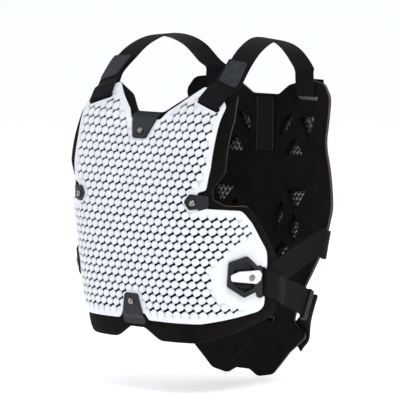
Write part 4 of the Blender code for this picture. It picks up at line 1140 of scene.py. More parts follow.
def tongue_rivet_spot(side: Side) -> tuple[float, float]:
    """Pattern place of the rivet through a buckle's tongue."""
    x, y = FRONT.spot(RING_PLACE, side)
    return x + side.value * TONGUE_RIVET_SHIFT, y


@dataclass
class FrontPad:
    """Padded cloth backing of the front plate, with a rolled rim that shows its cut foam."""

    half: tuple[Corner, ...] = (
        (0.058, 0.053, 0.45), (0.167, 0.006, 0.70), (0.420, 0.004, 2.00), (0.990, 0.100, 0.55),
        (1.000, 0.328, 1.00), (0.863, 0.469, 0.80), (0.767, 0.541, 0.50), (0.625, 0.545, 0.80),
        (0.546, 0.572, 0.27), (0.546, 0.614, 0.27), (0.612, 0.678, 0.40), (0.596, 0.883, 1.00),
        (0.533, 0.980, 0.40), (0.375, 1.000, 0.80), (0.217, 0.961, 1.00), (0.100, 0.897, 0.50))
    roll: float = 3.0 * MM
    roll_depth: float = 2.6 * MM
    swell: float = 1.2 * MM
    channel_place: float = 55.0 * MM
    channel_width: float = 4.0 * MM
    channel_depth: float = 1.6 * MM

    def build(self) -> Piece:
        """Wrap the pad, swell it where no plate presses it and dish its sewn channels."""
        outline = half_outline(self.half, FRONT)
        plate = half_outline(FRONT_SHELL_HALF, FRONT)
        inner = spaced_inner([outline], 6 * MM, (0.35 * MM, 1.1 * MM, 2.1 * MM, 3.2 * MM))

        def outer(points: Array, edge: Array) -> Array:
            """Outer face, which swells where no plate presses it."""
            free = smooth_share(outside_distance(points, plate), 1.0 * MM, 9 * MM)
            soft = free * self.swell * smooth_share(edge, 0.0, 9 * MM)
            return soft - rolled(edge, self.roll, self.roll_depth)

        def under(points: Array, edge: Array) -> Array:
            """Face towards the chest, dished along its sewn channels."""
            aside = np.abs(points[:, 0])
            channel = sum(np.exp(-((aside - place) / self.channel_width) ** 2)
                          for place in (self.channel_place, 0.0))
            channel = channel * smooth_share(edge, 10 * MM, 30 * MM)
            return -PAD + rolled(edge, self.roll, self.roll_depth) + self.channel_depth * channel

        panel = Panel("front_padding", FRONT.place, [outline], inner, outer, under)
        pad = settle(panel.build([SPACER_MESH, CUT_EDGE]), Slot.PAD, "front_pad")
        return pad


@dataclass
class Tab:
    """Smooth rubber tab that lies on the pad at its root and climbs over the plate's edge."""

    name: str
    corners: tuple[Corner, ...]
    rivet: tuple[float, float]
    side: Side
    climb_from: float
    climb_axis: int
    climb_sign: float
    climb: float = 7.0 * MM
    thickness: float = 2.0 * MM
    corner_round: float = 5.0 * MM

    def outline(self) -> Array:
        """Rounded outline on the front pattern."""
        corners = [(*FRONT.spot(corner, self.side), corner[2] * self.corner_round) for corner in self.corners]
        return sided_outline(corners, self.side, 0.002, 0.0008)

    def height(self, x: Array, y: Array) -> Array:
        """Height of the tab's underside."""
        value = (np.abs(x), y)[self.climb_axis]
        start = self.climb_from - self.climb_sign * (1.2 * MM + self.climb)
        share = smooth_share(self.climb_sign * (value - start) / self.climb, 0.0, 1.0)
        return LAYER_GAP + share * (LAYER_GAP + SHELL)

    def build(self) -> Piece:
        """Mould the tab with a rounded rim and a shallow seat round its rivet."""
        spot = np.array(FRONT.spot(self.rivet, self.side))
        loops = [self.outline(), circle(spot, RIVET_HOLE)]
        inner = spaced_inner(loops, 1.8 * MM, RIM_RINGS)

        def outer(points: Array, edge: Array) -> Array:
            """Outer face, with a rounded rim and a seat round the rivet."""
            far = np.hypot(*(points - spot).T)
            seat = 0.35 * MM * (1.0 - smooth_share(far, 5.2 * MM, 6.4 * MM))
            return self.height(*points.T) + self.thickness - rolled(edge, 0.9 * MM) - seat

        panel = Panel(self.name + "_moulding", FRONT.place, loops, inner, outer,
                      lambda points, edge: self.height(*points.T), rims=loops[:1])
        return settle(panel.build([TAB_RUBBER]), Slot.TAB, self.name)


def front_tabs() -> list[Tab]:
    """The neck, hem and arm tabs."""
    neck = ((0.108, 0.889, 1.0), (-0.108, 0.889, 1.0), (-0.050, 0.789, 1.0), (0.050, 0.789, 1.0))
    hem = ((-0.090, 0.070, 1.0), (0.090, 0.070, 1.0), (0.050, 0.192, 1.0), (-0.050, 0.192, 1.0))
    arm = ((0.523, 0.542, 0.6), (0.523, 0.589, 0.6), (0.412, 0.594, 1.0), (0.379, 0.563, 1.0),
           (0.412, 0.532, 1.0))
    neck_edge = FRONT_SHELL_HALF[-1][1] * FRONT.height
    hem_edge = FRONT_SHELL_HALF[0][1] * FRONT.height
    arm_edge = FRONT_SHELL_HALF[9][0] * FRONT.reach
    tabs = [Tab("neck_tab", neck, NECK_RIVET, Side.LEFT, neck_edge, 1, -1.0),
            Tab("hem_tab", hem, HEM_RIVET, Side.LEFT, hem_edge, 1, 1.0)]
    return tabs + [Tab("arm_tab_" + side.end, arm, ARM_RIVET, side, arm_edge, 0, -1.0) for side in Side]


@dataclass
class Rivet:
    """Pressed rivet: domed cap with a turned ring, its foot on the pad."""

    name: str
    spot: tuple[float, float]
    seat: float
    foot: float = 0.3 * MM
    radius: float = 4.6 * MM
    dome: float = 2.2 * MM
    sides: int = 36

    def build(self) -> Piece:
        """Turn the profile round the rivet's axis."""
        r, top = self.radius, self.seat + self.dome
        profile = [(0.0, top - 0.45 * MM), (0.22 * r, top - 0.42 * MM), (0.32 * r, top - 0.12 * MM),
                   (0.42 * r, top), (0.58 * r, top - 0.08 * MM), (0.70 * r, top - 0.35 * MM),
                   (0.76 * r, top - 0.75 * MM), (0.82 * r, top - 0.80 * MM), (0.90 * r, top - 0.85 * MM),
                   (0.97 * r, top - 1.15 * MM), (r, top - 1.60 * MM), (0.98 * r, self.seat),
                   (1.8 * MM, self.seat), (1.8 * MM, self.foot), (0.0, self.foot)]
        angles = 2 * pi * np.arange(self.sides) / self.sides
        points = [(0.0, 0.0, profile[0][1])]
        for radius, z in profile[1:-1]:
            points += [(radius * cos(a), radius * sin(a), z) for a in angles]
        points.append((0.0, 0.0, profile[-1][1]))
        n, rows = self.sides, len(profile) - 2
        faces = [(0, 1 + i, 1 + (i + 1) % n) for i in range(n)]
        for row in range(rows - 1):
            a, b = 1 + row * n, 1 + (row + 1) * n
            faces += [(a + i, b + i, b + (i + 1) % n, a + (i + 1) % n) for i in range(n)]
        last, end = 1 + (rows - 1) * n, 1 + rows * n
        faces += [(last + (i + 1) % n, last + i, end) for i in range(n)]
        spin = np.array(FRONT.frame_at(*self.spot))
        placed = np.array(points) @ spin[:3, :3].T + spin[:3, 3]
        piece = add_mesh(self.name + "_cap", placed, faces, [RIVET_METAL], sharp=radians(70))
        return settle(piece, Slot.RIVET, self.name)


# ---------------------------------------------------------------- buckles


@dataclass
class Buckle:
    """Side buckle: hexagonal ring with its floor, white tongue across it, and the strap's anchor."""

    side: Side
    width: float = 0.052
    height: float = 0.059
    rim: float = 0.0085
    thickness: float = 0.0050
    tongue: tuple[float, float, float] = (0.047, 0.019, 0.0022)
    ring_corners: tuple[tuple[float, float], ...] = (
        (0.86, 0.46), (0.22, 1.0), (-0.86, 0.74), (-1.0, -0.44), (-0.08, -1.0), (0.80, -0.72))
    tongue_corners: tuple[tuple[float, float], ...] = (
        (0.45, -0.25), (0.50, 0.20), (0.42, 0.50), (-0.25, 0.50), (-0.50, 0.25), (-0.50, -0.20),
        (0.30, -0.50))
    anchor_corners: tuple[Corner, ...] = (
        (-0.0145, -0.012, 0.003), (-0.0110, -0.022, 0.003), (-0.0034, -0.0235, 0.002),
        (-0.0034, 0.0235, 0.002), (-0.0090, 0.0235, 0.003), (-0.0145, 0.014, 0.003))

    @property
    def foot(self) -> float:
        """Height of the ring's underside."""
        return float(shell_lift(0.0, 0.0)) + SHELL + LAYER_GAP

    @property
    def tongue_foot(self) -> float:
        """Height of the tongue's underside."""
        return self.foot + self.thickness + LAYER_GAP

    def loop(self, corners: Iterable[tuple[float, float]], wide: float, tall: float, radius: float,
             shift: float = 0.0) -> Array:
        """Rounded outline about the buckle's place, from corners in shares of a size."""
        x, y = FRONT.spot(RING_PLACE, self.side)
        s = self.side.value
        placed = [(x + s * (cx * wide + shift), y + cy * tall, radius) for cx, cy in corners]
        return sided_outline(placed, self.side, 0.0015, 0.0008)

    def ring_loop(self, inset: float) -> Array:
        """Hexagon of the ring, drawn in from its outer size."""
        return self.loop(self.ring_corners, self.width / 2 - inset, self.height / 2 - inset, 0.005)

    def build_ring(self) -> Piece:
        """Mould the ring with a round section and a groove along its crest."""
        loops = [self.ring_loop(0.0), self.ring_loop(self.rim)]
        inner = inset_points(loops, (0.3 * MM, 0.9 * MM, 1.8 * MM, 2.8 * MM, 3.6 * MM))

        def outer(points: Array, edge: Array) -> Array:
            """Round section, with the groove along its crest."""
            groove = 0.5 * MM * np.exp(-((edge - 3.4 * MM) / (0.7 * MM)) ** 2)
            return self.foot + self.thickness - rolled(edge, 2.0 * MM) - groove

        panel = Panel("ring_" + self.side.end, FRONT.place, loops, inner, outer,
                      lambda points, edge: self.foot)
        return settle(panel.build([BLACK_ACETAL]), Slot.BUCKLE, "buckle_ring_" + self.side.end)

    def build_tongue(self) -> Piece:
        """Mould the tongue with rounded edges and a raised rib towards its tip."""
        wide, tall, thick = self.tongue
        spot = np.array(tongue_rivet_spot(self.side))
        loops = [self.loop(self.tongue_corners, wide, tall, 0.003, 0.002), circle(spot, RIVET_HOLE)]
        inner = spaced_inner(loops, 1.6 * MM, RIM_RINGS)

        def outer(points: Array, edge: Array) -> Array:
            """Sunk field inside a rib, left plain round the rivet."""
            sink = 0.45 * MM * smooth_share(edge, 2.2 * MM, 3.0 * MM)
            far = np.hypot(*(points - spot).T)
            sink = sink * smooth_share(far, 6.0 * MM, 6.8 * MM)
            return self.tongue_foot + thick - rolled(edge, 0.9 * MM) - sink

        panel = Panel("tongue_" + self.side.end, FRONT.place, loops, inner, outer,
                      lambda points, edge: self.tongue_foot, rims=loops[:1])
        return settle(panel.build([WHITE_SHELL]), Slot.SHELL, "buckle_tongue_" + self.side.end)

    def build_grip(self) -> Piece:
        """Mould the floor of the ring: a plain recess above the tongue, ribs below it."""
        loop = self.ring_loop(self.rim + 0.4 * MM)
        level = FRONT.spot(RING_PLACE)[1]
        inner = spaced_inner([loop], 0.9 * MM, (0.3 * MM,))

        def outer(points: Array, edge: Array) -> Array:
            """Recess above the middle, grip ribs below it."""
            y = points[:, 1]
            below = smooth_share(level - y, -1.0 * MM, 2.0 * MM)
            ribs = 0.55 * MM * (1 + np.cos(2 * pi * (y - level) / (2.8 * MM)))
            return self.foot + 0.5 * MM + (1.4 * MM + ribs) * below - rolled(edge, 0.8 * MM) * below

        panel = Panel("ring_floor_" + self.side.end, FRONT.place, [loop], inner, outer,
                      lambda points, edge: self.foot - 0.6 * MM)
        return settle(panel.build([BLACK_ACETAL]), Slot.BUCKLE)

    def build_anchor(self) -> Piece:
        """Mould the bar that joins the ring to the strap, on the plate beside the slot."""
        x, y = FRONT.spot(SIDE_SLOT, self.side)
        placed = [(x + self.side.value * cx, y + cy, radius) for cx, cy, radius in self.anchor_corners]
        loop = sided_outline(placed, self.side, 0.0015, 0.0008)
        inner = spaced_inner([loop], 1.2 * MM, RIM_RINGS)

        def foot(points: Array, edge: Array) -> Array:
            """Height of the plate's outer face with a fitting gap."""
            return shell_lift(*points.T) + SHELL + 0.2 * MM

        panel = Panel("strap_anchor_" + self.side.end, FRONT.place, [loop], inner,
                      lambda points, edge: foot(points, edge) + 3.2 * MM - rolled(edge, 1.5 * MM), foot)
        return settle(panel.build([BLACK_ACETAL]), Slot.BUCKLE)

    def build(self) -> None:
        """Build the buckle's pieces and its rivet."""
        self.build_ring()
        self.build_grip()
        self.build_anchor()
        self.build_tongue()
        seat = self.tongue_foot + self.tongue[2] + 0.3 * MM
        Rivet("tongue_rivet_" + self.side.end, tongue_rivet_spot(self.side), seat).build()


# ---------------------------------------------------------------- back half


WINDOW_UNIT = 0.040


@dataclass
class BackPad:
    """Backing with leaf-shaped windows; its cut foam shows along the rim."""

    half: tuple[Corner, ...] = (
        (0.076, 0.025, 0.20), (0.170, 0.004, 0.50), (0.330, 0.016, 0.60), (0.540, 0.100, 0.80),
        (0.812, 0.172, 0.20), (0.665, 0.186, 0.20), (0.580, 0.205, 0.25), (0.640, 0.290, 1.00),
        (0.960, 0.470, 1.00), (0.985, 0.590, 1.00), (0.820, 0.715, 1.00), (0.720, 0.790, 1.50),
        (0.800, 0.946, 0.60), (0.715, 0.990, 0.50), (0.500, 1.000, 0.80), (0.270, 0.978, 0.80),
        (0.140, 0.943, 0.40))
    windows: tuple[tuple[float, float, float, float, float, int], ...] = (
        (0.225, 0.846, 0.42, 1.30, -38, 4), (0.476, 0.846, 1.04, 1.20, 184, 3),
        (0.324, 0.763, 1.15, 0.84, 4, 3), (0.412, 0.607, 1.22, 1.10, 186, 3),
        (0.247, 0.540, 0.42, 1.44, -4, 4), (0.447, 0.508, 0.58, 1.20, 18, 4),
        (0.353, 0.432, 0.78, 0.66, 10, 4), (0.300, 0.205, 0.46, 0.42, 0, 4))
    roll: float = 1.6 * MM
    swell: float = 0.8 * MM
    slot_drop: float = 1.75 * MM
    slot_size: tuple[float, float] = (SLOT_LENGTH + 0.0035, 0.0085)
    squares: tuple[tuple[float, float, float], ...] = ((0.80, 0.64, 0.013), (0.0, 0.085, 0.017))

    def window(self, shape: Sequence[float], side: Side) -> Array:
        """Rounded outline of one window."""
        x, y = BACK.spot(shape, side)
        sides, turn = int(shape[5]), radians(shape[4])
        corners = []
        for i in range(sides):
            angle = pi / 2 + 2 * pi * i / sides
            across = shape[2] * WINDOW_UNIT / 2 * cos(angle)
            up = shape[3] * WINDOW_UNIT / 2 * sin(angle)
            corners.append((x + side.value * (across * cos(turn) - up * sin(turn)),
                            y + across * sin(turn) + up * cos(turn), 0.003))
        return rounded_outline(corners, 0.003, 0.001)

    def loops(self) -> list[Array]:
        """Outline, windows and strap slots."""
        loops = [half_outline(self.half, BACK)]
        loops += [self.window(shape, side) for side in Side for shape in self.windows]
        for side in Side:
            x, y = BACK.spot(BACK_SLOT, side)
            loops.append(strap_slot((x, y - self.slot_drop), 0.0, *self.slot_size))
        return loops

    def build(self) -> Piece:
        """Wrap the pad and round the rims of its windows."""
        loops = self.loops()
        inner = spaced_inner(loops, 6 * MM, (0.4 * MM, 1.0 * MM, 1.8 * MM))

        def under(points: Array, edge: Array) -> Array:
            """Face towards the back, which rises softly between the windows."""
            return rolled(edge, self.roll) - self.swell * smooth_share(edge, 2 * MM, 14 * MM)

        panel = Panel("back_padding", BACK.place, loops, inner,
                      lambda points, edge: BACK_PAD - rolled(edge, self.roll), under, flip=True)
        rim = [loops[0]]
        pad = panel.build([SPACER_MESH, CUT_EDGE, DARK_EDGE],
                          lambda points: np.where(edge_distance(points, rim) < 1e-4, 1, 2))
        settle(pad, Slot.PAD, "back_pad")
        self.build_squares()
        return pad

    def build_squares(self) -> None:
        """Sew a crossed square where each wing strap is held and one low on the centre line."""
        wing, low_square = self.squares
        squares = [(BACK.spot(wing, side), wing[2]) for side in Side]
        squares.append((BACK.spot(low_square), low_square[2]))
        seams = []
        for (x, y), half in squares:
            corners = [(x - half, y - half), (x + half, y - half), (x + half, y + half), (x - half, y + half)]
            runs = [(corners[i], corners[(i + 1) % 4]) for i in range(4)]
            runs += [(corners[0], corners[2]), (corners[1], corners[3])]
            for start, end in runs:
                seam = []
                for share in np.linspace(0.0, 1.0, 12):
                    px, py = np.array(start) * (1 - share) + np.array(end) * share
                    low = BACK.point(px, py, -0.9 * MM)
                    seam.append((low, BACK.point(px, py, -0.01) - low))
                seams.append(seam)
        settle(sew("pad_stitches", seams, BLACK_THREAD), Slot.PAD)


@dataclass
class BackInsert:
    """Dark impact plate whose glossy domed cells show through the windows."""

    half: tuple[Corner, ...] = (
        (0.180, 0.135, 0.40), (0.380, 0.210, 0.60), (0.420, 0.350, 1.00), (0.560, 0.480, 0.80),
        (0.560, 0.590, 0.80), (0.440, 0.720, 0.80), (0.520, 0.840, 0.60), (0.420, 0.895, 0.40),
        (0.120, 0.865, 0.60))
    pitch: float = 7.5 * MM
    foot: float = BACK_PAD + LAYER_GAP
    rise: float = 0.6 * MM
    sink: float = 0.9 * MM

    def build(self) -> Piece:
        """Dome a hexagonal lattice of cells on the side that faces the body."""
        loop = half_outline(self.half, BACK)
        cells = lattice_points(loop, self.pitch)
        cells = cells[inside(cells, loop)]
        cells = cells[edge_distance(cells, [loop]) > self.pitch * 0.7]
        rings = [cells] + [(cells[:, None] + circle((0.0, 0.0), radius, 6)[None]).reshape(-1, 2)
                           for radius in (0.27 * self.pitch, 0.42 * self.pitch)]
        rings.append((cells[:, None] + circle((0.0, 0.0), self.pitch * 0.577, 6)
                      [None] @ np.array(((HEX_ROW, 0.5), (-0.5, HEX_ROW)))).reshape(-1, 2))
        inner = np.unique(np.round(np.concatenate(rings), 6), axis=0)
        inner = inner[inside(inner, loop) & (edge_distance(inner, [loop]) > 1.0 * MM)]
        low = loop.min(axis=0)

        def bulge(points: Array) -> Array:
            """Height of the cells from -1 in their grooves to 1 on their tops."""
            row_pitch = self.pitch * HEX_ROW
            gap = np.full(len(points), np.inf)
            base = np.floor((points[:, 1] - low[1]) / row_pitch)
            for rows in (base, base + 1):
                shift = (rows % 2) * self.pitch / 2 + low[0]
                x = np.round((points[:, 0] - shift) / self.pitch) * self.pitch + shift
                gap = np.minimum(gap, np.hypot(points[:, 0] - x, points[:, 1] - low[1] - rows * row_pitch))
            return np.clip(1.0 - (gap / (0.5 * self.pitch)) ** 2.6, -0.2, 1.0)

        def under(points: Array, edge: Array) -> Array:
            """Face towards the body, domed over each cell."""
            height = self.sink - (self.sink + self.rise) * np.clip(bulge(points), 0.0, 1.0)
            return self.foot + height

        panel = Panel("impact_cells", BACK.place, [loop], inner, lambda points, edge: self.foot + INSERT,
                      under, flip=True)
        return settle(panel.build([DARK_CELLS]), Slot.CELLS, "back_insert")


@dataclass
class BackShell:
    """Plain outer back plate with a rounded rim and one soft raised field."""

    half: tuple[Corner, ...] = (
        (0.120, 0.065, 0.40), (0.330, 0.065, 0.80), (0.500, 0.170, 0.80), (0.560, 0.330, 1.50),
        (0.720, 0.450, 1.00), (0.740, 0.600, 1.00), (0.600, 0.720, 1.00), (0.620, 0.820, 1.00),
        (0.710, 0.925, 0.50), (0.650, 0.967, 0.40), (0.360, 0.975, 0.60), (0.120, 0.905, 0.80))
    field_rise: float = 0.9 * MM
    border: float = 9.0 * MM
    fold_seat: tuple[float, float, float] = (0.012, 0.050, 0.040)

    def build(self) -> Piece:
        """Wrap the plate and raise its field inside a plain border."""
        slots = [strap_slot(BACK.spot(BACK_SLOT, side), 0.0) for side in Side]
        loops = [half_outline(self.half, BACK)] + slots
        inner = spaced_inner(loops, 4 * MM, (0.4 * MM, 0.9 * MM, 2.5 * MM))
        down, length, width = self.fold_seat
        places = [BACK.spot(BACK_SLOT, side) for side in Side]
        seats = [strap_slot((x, y - down), 0.0, length, width) for x, y in places]

        def outer(points: Array, edge: Array) -> Array:
            """Field raised inside a plain border, clear of the straps, and a rounded rim."""
            depth = edge_distance(points, loops[:1]) - self.border
            for seat in seats:
                depth = np.minimum(depth, outside_distance(points, seat) - 2 * MM)
            raised = self.field_rise * smooth_share(depth, 0.0, 3 * MM)
            return BACK_SHELL_FOOT + SHELL + raised - rolled(edge, 0.9 * MM)

        panel = Panel("back_plate", BACK.place, loops, inner, outer,
                      lambda points, edge: BACK_SHELL_FOOT, flip=True)
        return settle(panel.build([WHITE_SHELL]), Slot.SHELL, "back_shell")


@dataclass
class NeckLabel:
    """Blank woven label inside the back neck, sewn down each side."""

    place: tuple[float, float] = (0.012, 0.842)
    width: float = 0.034
    height: float = 0.080
    thickness: float = 0.0010
    hem: float = 2.2 * MM

    def build(self) -> Piece:
        """Lay the label on the pad and sew its two long sides."""
        x, y = BACK.spot(self.place)
        corners = [(x + i * self.width / 2, y + j * self.height / 2, 0.001)
                   for i, j in ((1, -1), (1, 1), (-1, 1), (-1, -1))]
        loop = rounded_outline(corners, 0.003, 0.0005)
        inner = spaced_inner([loop], 3 * MM, (0.5 * MM, self.hem))

        def under(points: Array, edge: Array) -> Array:
            """Face towards the body, thicker along the folded hems."""
            fold = 0.25 * MM * (1.0 - smooth_share(edge, self.hem, self.hem + 1 * MM))
            return -LAYER_GAP - self.thickness - fold + rolled(edge, 0.5 * MM, 0.3 * MM)

        panel = Panel("neck_label", BACK.place, [loop], inner, lambda points, edge: -LAYER_GAP * 1.1,
                      under, flip=True)
        label = settle(panel.build([LABEL_SATIN]), Slot.LABEL, "label")
        seams = []
        for across in (-1, 1):
            line_x = x + across * (self.width / 2 - self.hem)
            rises = np.linspace(y - self.height / 2 + 2 * MM, y + self.height / 2 - 2 * MM, 60)
            seams.append([(BACK.point(line_x, rise, -LAYER_GAP - self.thickness - 0.3 * MM),
                           BACK.point(line_x, rise, -0.01) - BACK.point(line_x, rise)) for rise in rises])
        settle(sew("label_stitches", seams, GREY_THREAD), Slot.LABEL)
        return label


# ---------------------------------------------------------------- webbing


class Band:
    """Smooth surface that a strap follows, through rows of three points across it."""

    def __init__(self, rows: Sequence[Sequence[Vector]], hand: float, samples: int = 12) -> None:
        """Draw the surface.

        Args:
            rows: Three points across at each place.
            hand: 1 or -1, the side of the surface that is out.
            samples: Steps between rows.
        """
        marks = np.array([[list(point) for point in row] for row in rows])
        last = len(marks) - 1
        fine = []
        for i in range(last):
            before, start, end, after = (marks[min(max(i + k, 0), last)] for k in (-1, 0, 1, 2))
            for share in np.arange(samples) / samples:
                line = 2 * start + (end - before) * share
                bow = (2 * before - 5 * start + 4 * end - after) * share ** 2
                twist = (3 * start - before - 3 * end + after) * share ** 3
                fine.append((line + bow + twist) / 2)
        fine.append(marks[-1])
        self.rows = np.array(fine)
        self.hand = hand
        steps = np.linalg.norm(np.diff(self.rows[:, 1], axis=0), axis=1)
        self.lengths = np.concatenate(([0.0], np.cumsum(steps)))
        self.length = float(self.lengths[-1])

    def row(self, along: float) -> Array:
        """Three points across at a length along the band, run on straight past its ends."""
        near = min(max(along, 0.0), self.length)
        i = min(int(np.searchsorted(self.lengths, near, side="right")), len(self.lengths) - 1)
        span = self.lengths[i] - self.lengths[i - 1]
        share = (along - self.lengths[i - 1]) / span
        return self.rows[i - 1] * (1 - share) + self.rows[i] * share

    def point(self, sideways: float, along: float, out: float) -> Vector:
        """Point of the band at a place across it, with a height above it."""
        share = 2 * sideways / WEB_WIDTH
        blend = np.array((share * (share - 1) / 2, 1 - share * share, share * (share + 1) / 2))
        slope = np.array((share - 0.5, -2 * share, share + 0.5))
        near = self.row(along)
        travel = Vector(blend @ (self.row(along + MM) - self.row(along - MM)))
        normal = Vector(slope @ near).cross(travel).normalized() * self.hand
        return Vector(blend @ near) + normal * out


def pattern_row(body: BodyHalf, spot: Sequence[float], tilt: float, along: float, out: float = 0.0
                ) -> list[Vector]:
    """Three points across a strap that lies on a pattern, measured from a slot."""
    row = []
    for sideways in (-WEB_WIDTH / 2, 0.0, WEB_WIDTH / 2):
        x = spot[0] + sideways * cos(tilt) - along * sin(tilt)
        y = spot[1] + sideways * sin(tilt) + along * cos(tilt)
        row.append(body.point(x, y, out))
    return row


def station_row(place: Vector, across: Vector) -> list[Vector]:
    """Three points across a strap where it hangs free."""
    return [place + across * sideways for sideways in (-WEB_WIDTH / 2, 0.0, WEB_WIDTH / 2)]


def fold_path(bar_width: float, low: float, high: float, radius: float = 2.6 * MM, steps: int = 8
              ) -> list[tuple[float, float]]:
    """Path (along, out) of webbing over a bar, down through the slot and back under the bar."""
    centre = SLOT_WIDTH / 2 + 0.3 * MM
    path = [(SLOT_WIDTH / 2 + bar_width, high)]
    for corner, start in ((high - radius, pi / 2), (low + radius, pi)):
        for i in range(steps + 1):
            angle = start + pi / 2 * i / steps
            path.append((centre + radius * cos(angle), corner + radius * sin(angle)))
    path.append((SLOT_WIDTH / 2 + bar_width, low))
    return path


def spread(start: float, end: float, step: float = 3 * MM) -> list[float]:
    """Places between two lengths, both left out, at a step."""
    count = max(2, ceil(abs(end - start) / step) + 1)
    return [float(place) for place in np.linspace(start, end, count)[1:-1]]


def weave_strap(name: str, rows: Sequence[Sequence[Vector]]) -> tuple[Piece, float]:
    """Webbing with its real thickness and rounded selvedges.

    Args:
        name: Name of the piece.
        rows: Points across it at each place along it.

    Returns:
        The new object and its length.
    """
    grid = np.array([[list(point) for point in row] for row in rows])
    count, columns = grid.shape[:2]
    along = np.gradient(grid, axis=0)
    across = np.gradient(grid, axis=1)
    normals = np.cross(across, along)
    normals /= np.linalg.norm(normals, axis=2, keepdims=True)
    place = np.linspace(-1.0, 1.0, columns)
    half = WEB_THICKNESS / 2 * (1.0 - 0.45 * np.abs(place) ** 14)
    top = grid + normals * half[None, :, None]
    low = grid - normals * half[None, :, None]
    ring = np.concatenate((top, low[:, ::-1]), axis=1)
    wide = 2 * columns
    steps = np.linalg.norm(np.diff(grid[:, columns // 2], axis=0), axis=1)
    lengths = np.concatenate(([0.0], np.cumsum(steps)))
    sideways = np.concatenate((place, place[::-1])) * WEB_WIDTH / 2
    uvs = np.stack(np.broadcast_arrays(sideways[None, :], lengths[:, None]), axis=-1).reshape(-1, 2)
    faces = []
    for i in range(count - 1):
        for j in range(wide):
            a, b = i * wide + j, i * wide + (j + 1) % wide
            faces.append((a, b, b + wide, a + wide))
    faces.append(tuple(range(wide - 1, -1, -1)))
    faces.append(tuple((count - 1) * wide + j for j in range(wide)))
    piece = add_mesh(name, ring.reshape(-1, 3), faces, [BLACK_WEBBING], uvs=uvs)
    return piece, float(lengths[-1])


def sew(name: str, seams: Sequence[Sequence[tuple[Vector, Vector]]], thread: Finish,
        pitch: float = 3.2 * MM, length: float = 2.5 * MM, width: float = 0.9 * MM) -> Piece:
    """Rows of rounded stitches along seams.

    Args:
        name: Name of the piece.
        seams: Each seam as (point, outward direction) pairs, close together.
        thread: Finish of the thread.
        pitch: From one stitch to the next.
        length: Length of a stitch.
        width: Thickness of the thread.

    Returns:
        One object that holds all the stitches.
    """
    sides, rings = 6, 5
    points, faces = [], []
    for seam in seams:
        spots = np.array([list(point) for point, _ in seam])
        outs = np.array([list(out.normalized()) for _, out in seam])
        runs = np.concatenate(([0.0], np.cumsum(np.linalg.norm(np.diff(spots, axis=0), axis=1))))
        for middle in np.arange(pitch / 2, runs[-1], pitch):
            centre = np.array([np.interp(middle, runs, spots[:, k]) for k in range(3)])
            ahead = np.array([np.interp(middle + MM, runs, spots[:, k]) for k in range(3)])
            behind = np.array([np.interp(middle - MM, runs, spots[:, k]) for k in range(3)])
            out = np.array([np.interp(middle, runs, outs[:, k]) for k in range(3)])
            along = (ahead - behind) / np.linalg.norm(ahead - behind)
            aside = np.cross(out, along)
            first = len(points)
            points.append(centre - along * length / 2)
            for i in range(1, rings + 1):
                angle = pi * i / (rings + 1)
                for j in range(sides):
                    turn = 2 * pi * j / sides
                    girth = width / 2 * sin(angle) ** 0.6
                    points.append(centre - along * length / 2 * cos(angle)
                                  + aside * girth * cos(turn) + out * girth * sin(turn))
            points.append(centre + along * length / 2)
            last = len(points) - 1
            faces += [(first, first + 1 + (j + 1) % sides, first + 1 + j) for j in range(sides)]
            for i in range(rings - 1):
                a = first + 1 + i * sides
                faces += [(a + j, a + (j + 1) % sides, a + sides + (j + 1) % sides, a + sides + j)
                          for j in range(sides)]
            a = last - sides
            faces += [(a + j, a + (j + 1) % sides, last) for j in range(sides)]
    return add_mesh(name, np.array(points), faces, [thread], uvs=np.array(points)[:, :2])


def box_seams(band: Band, start: float, end: float, half: float, out: float) -> list:
    """Seams of a stitched box with a cross in it, on a band between two lengths."""
    def seam(first: tuple[float, float], second: tuple[float, float]) -> list:
        """One straight seam on the band."""
        pairs = []
        for share in np.linspace(0.0, 1.0, 14):
            sideways = first[0] + (second[0] - first[0]) * share
            along = first[1] + (second[1] - first[1]) * share
            low = band.point(sideways, along, out)
            pairs.append((low, band.point(sideways, along, out + 0.01) - low))
        return pairs

    corners = [(-half, start), (half, start), (half, end), (-half, end)]
    sides = [seam(corners[i], corners[(i + 1) % 4]) for i in range(4)]
    return sides + [seam(corners[0], corners[2]), seam(corners[1], corners[3])]


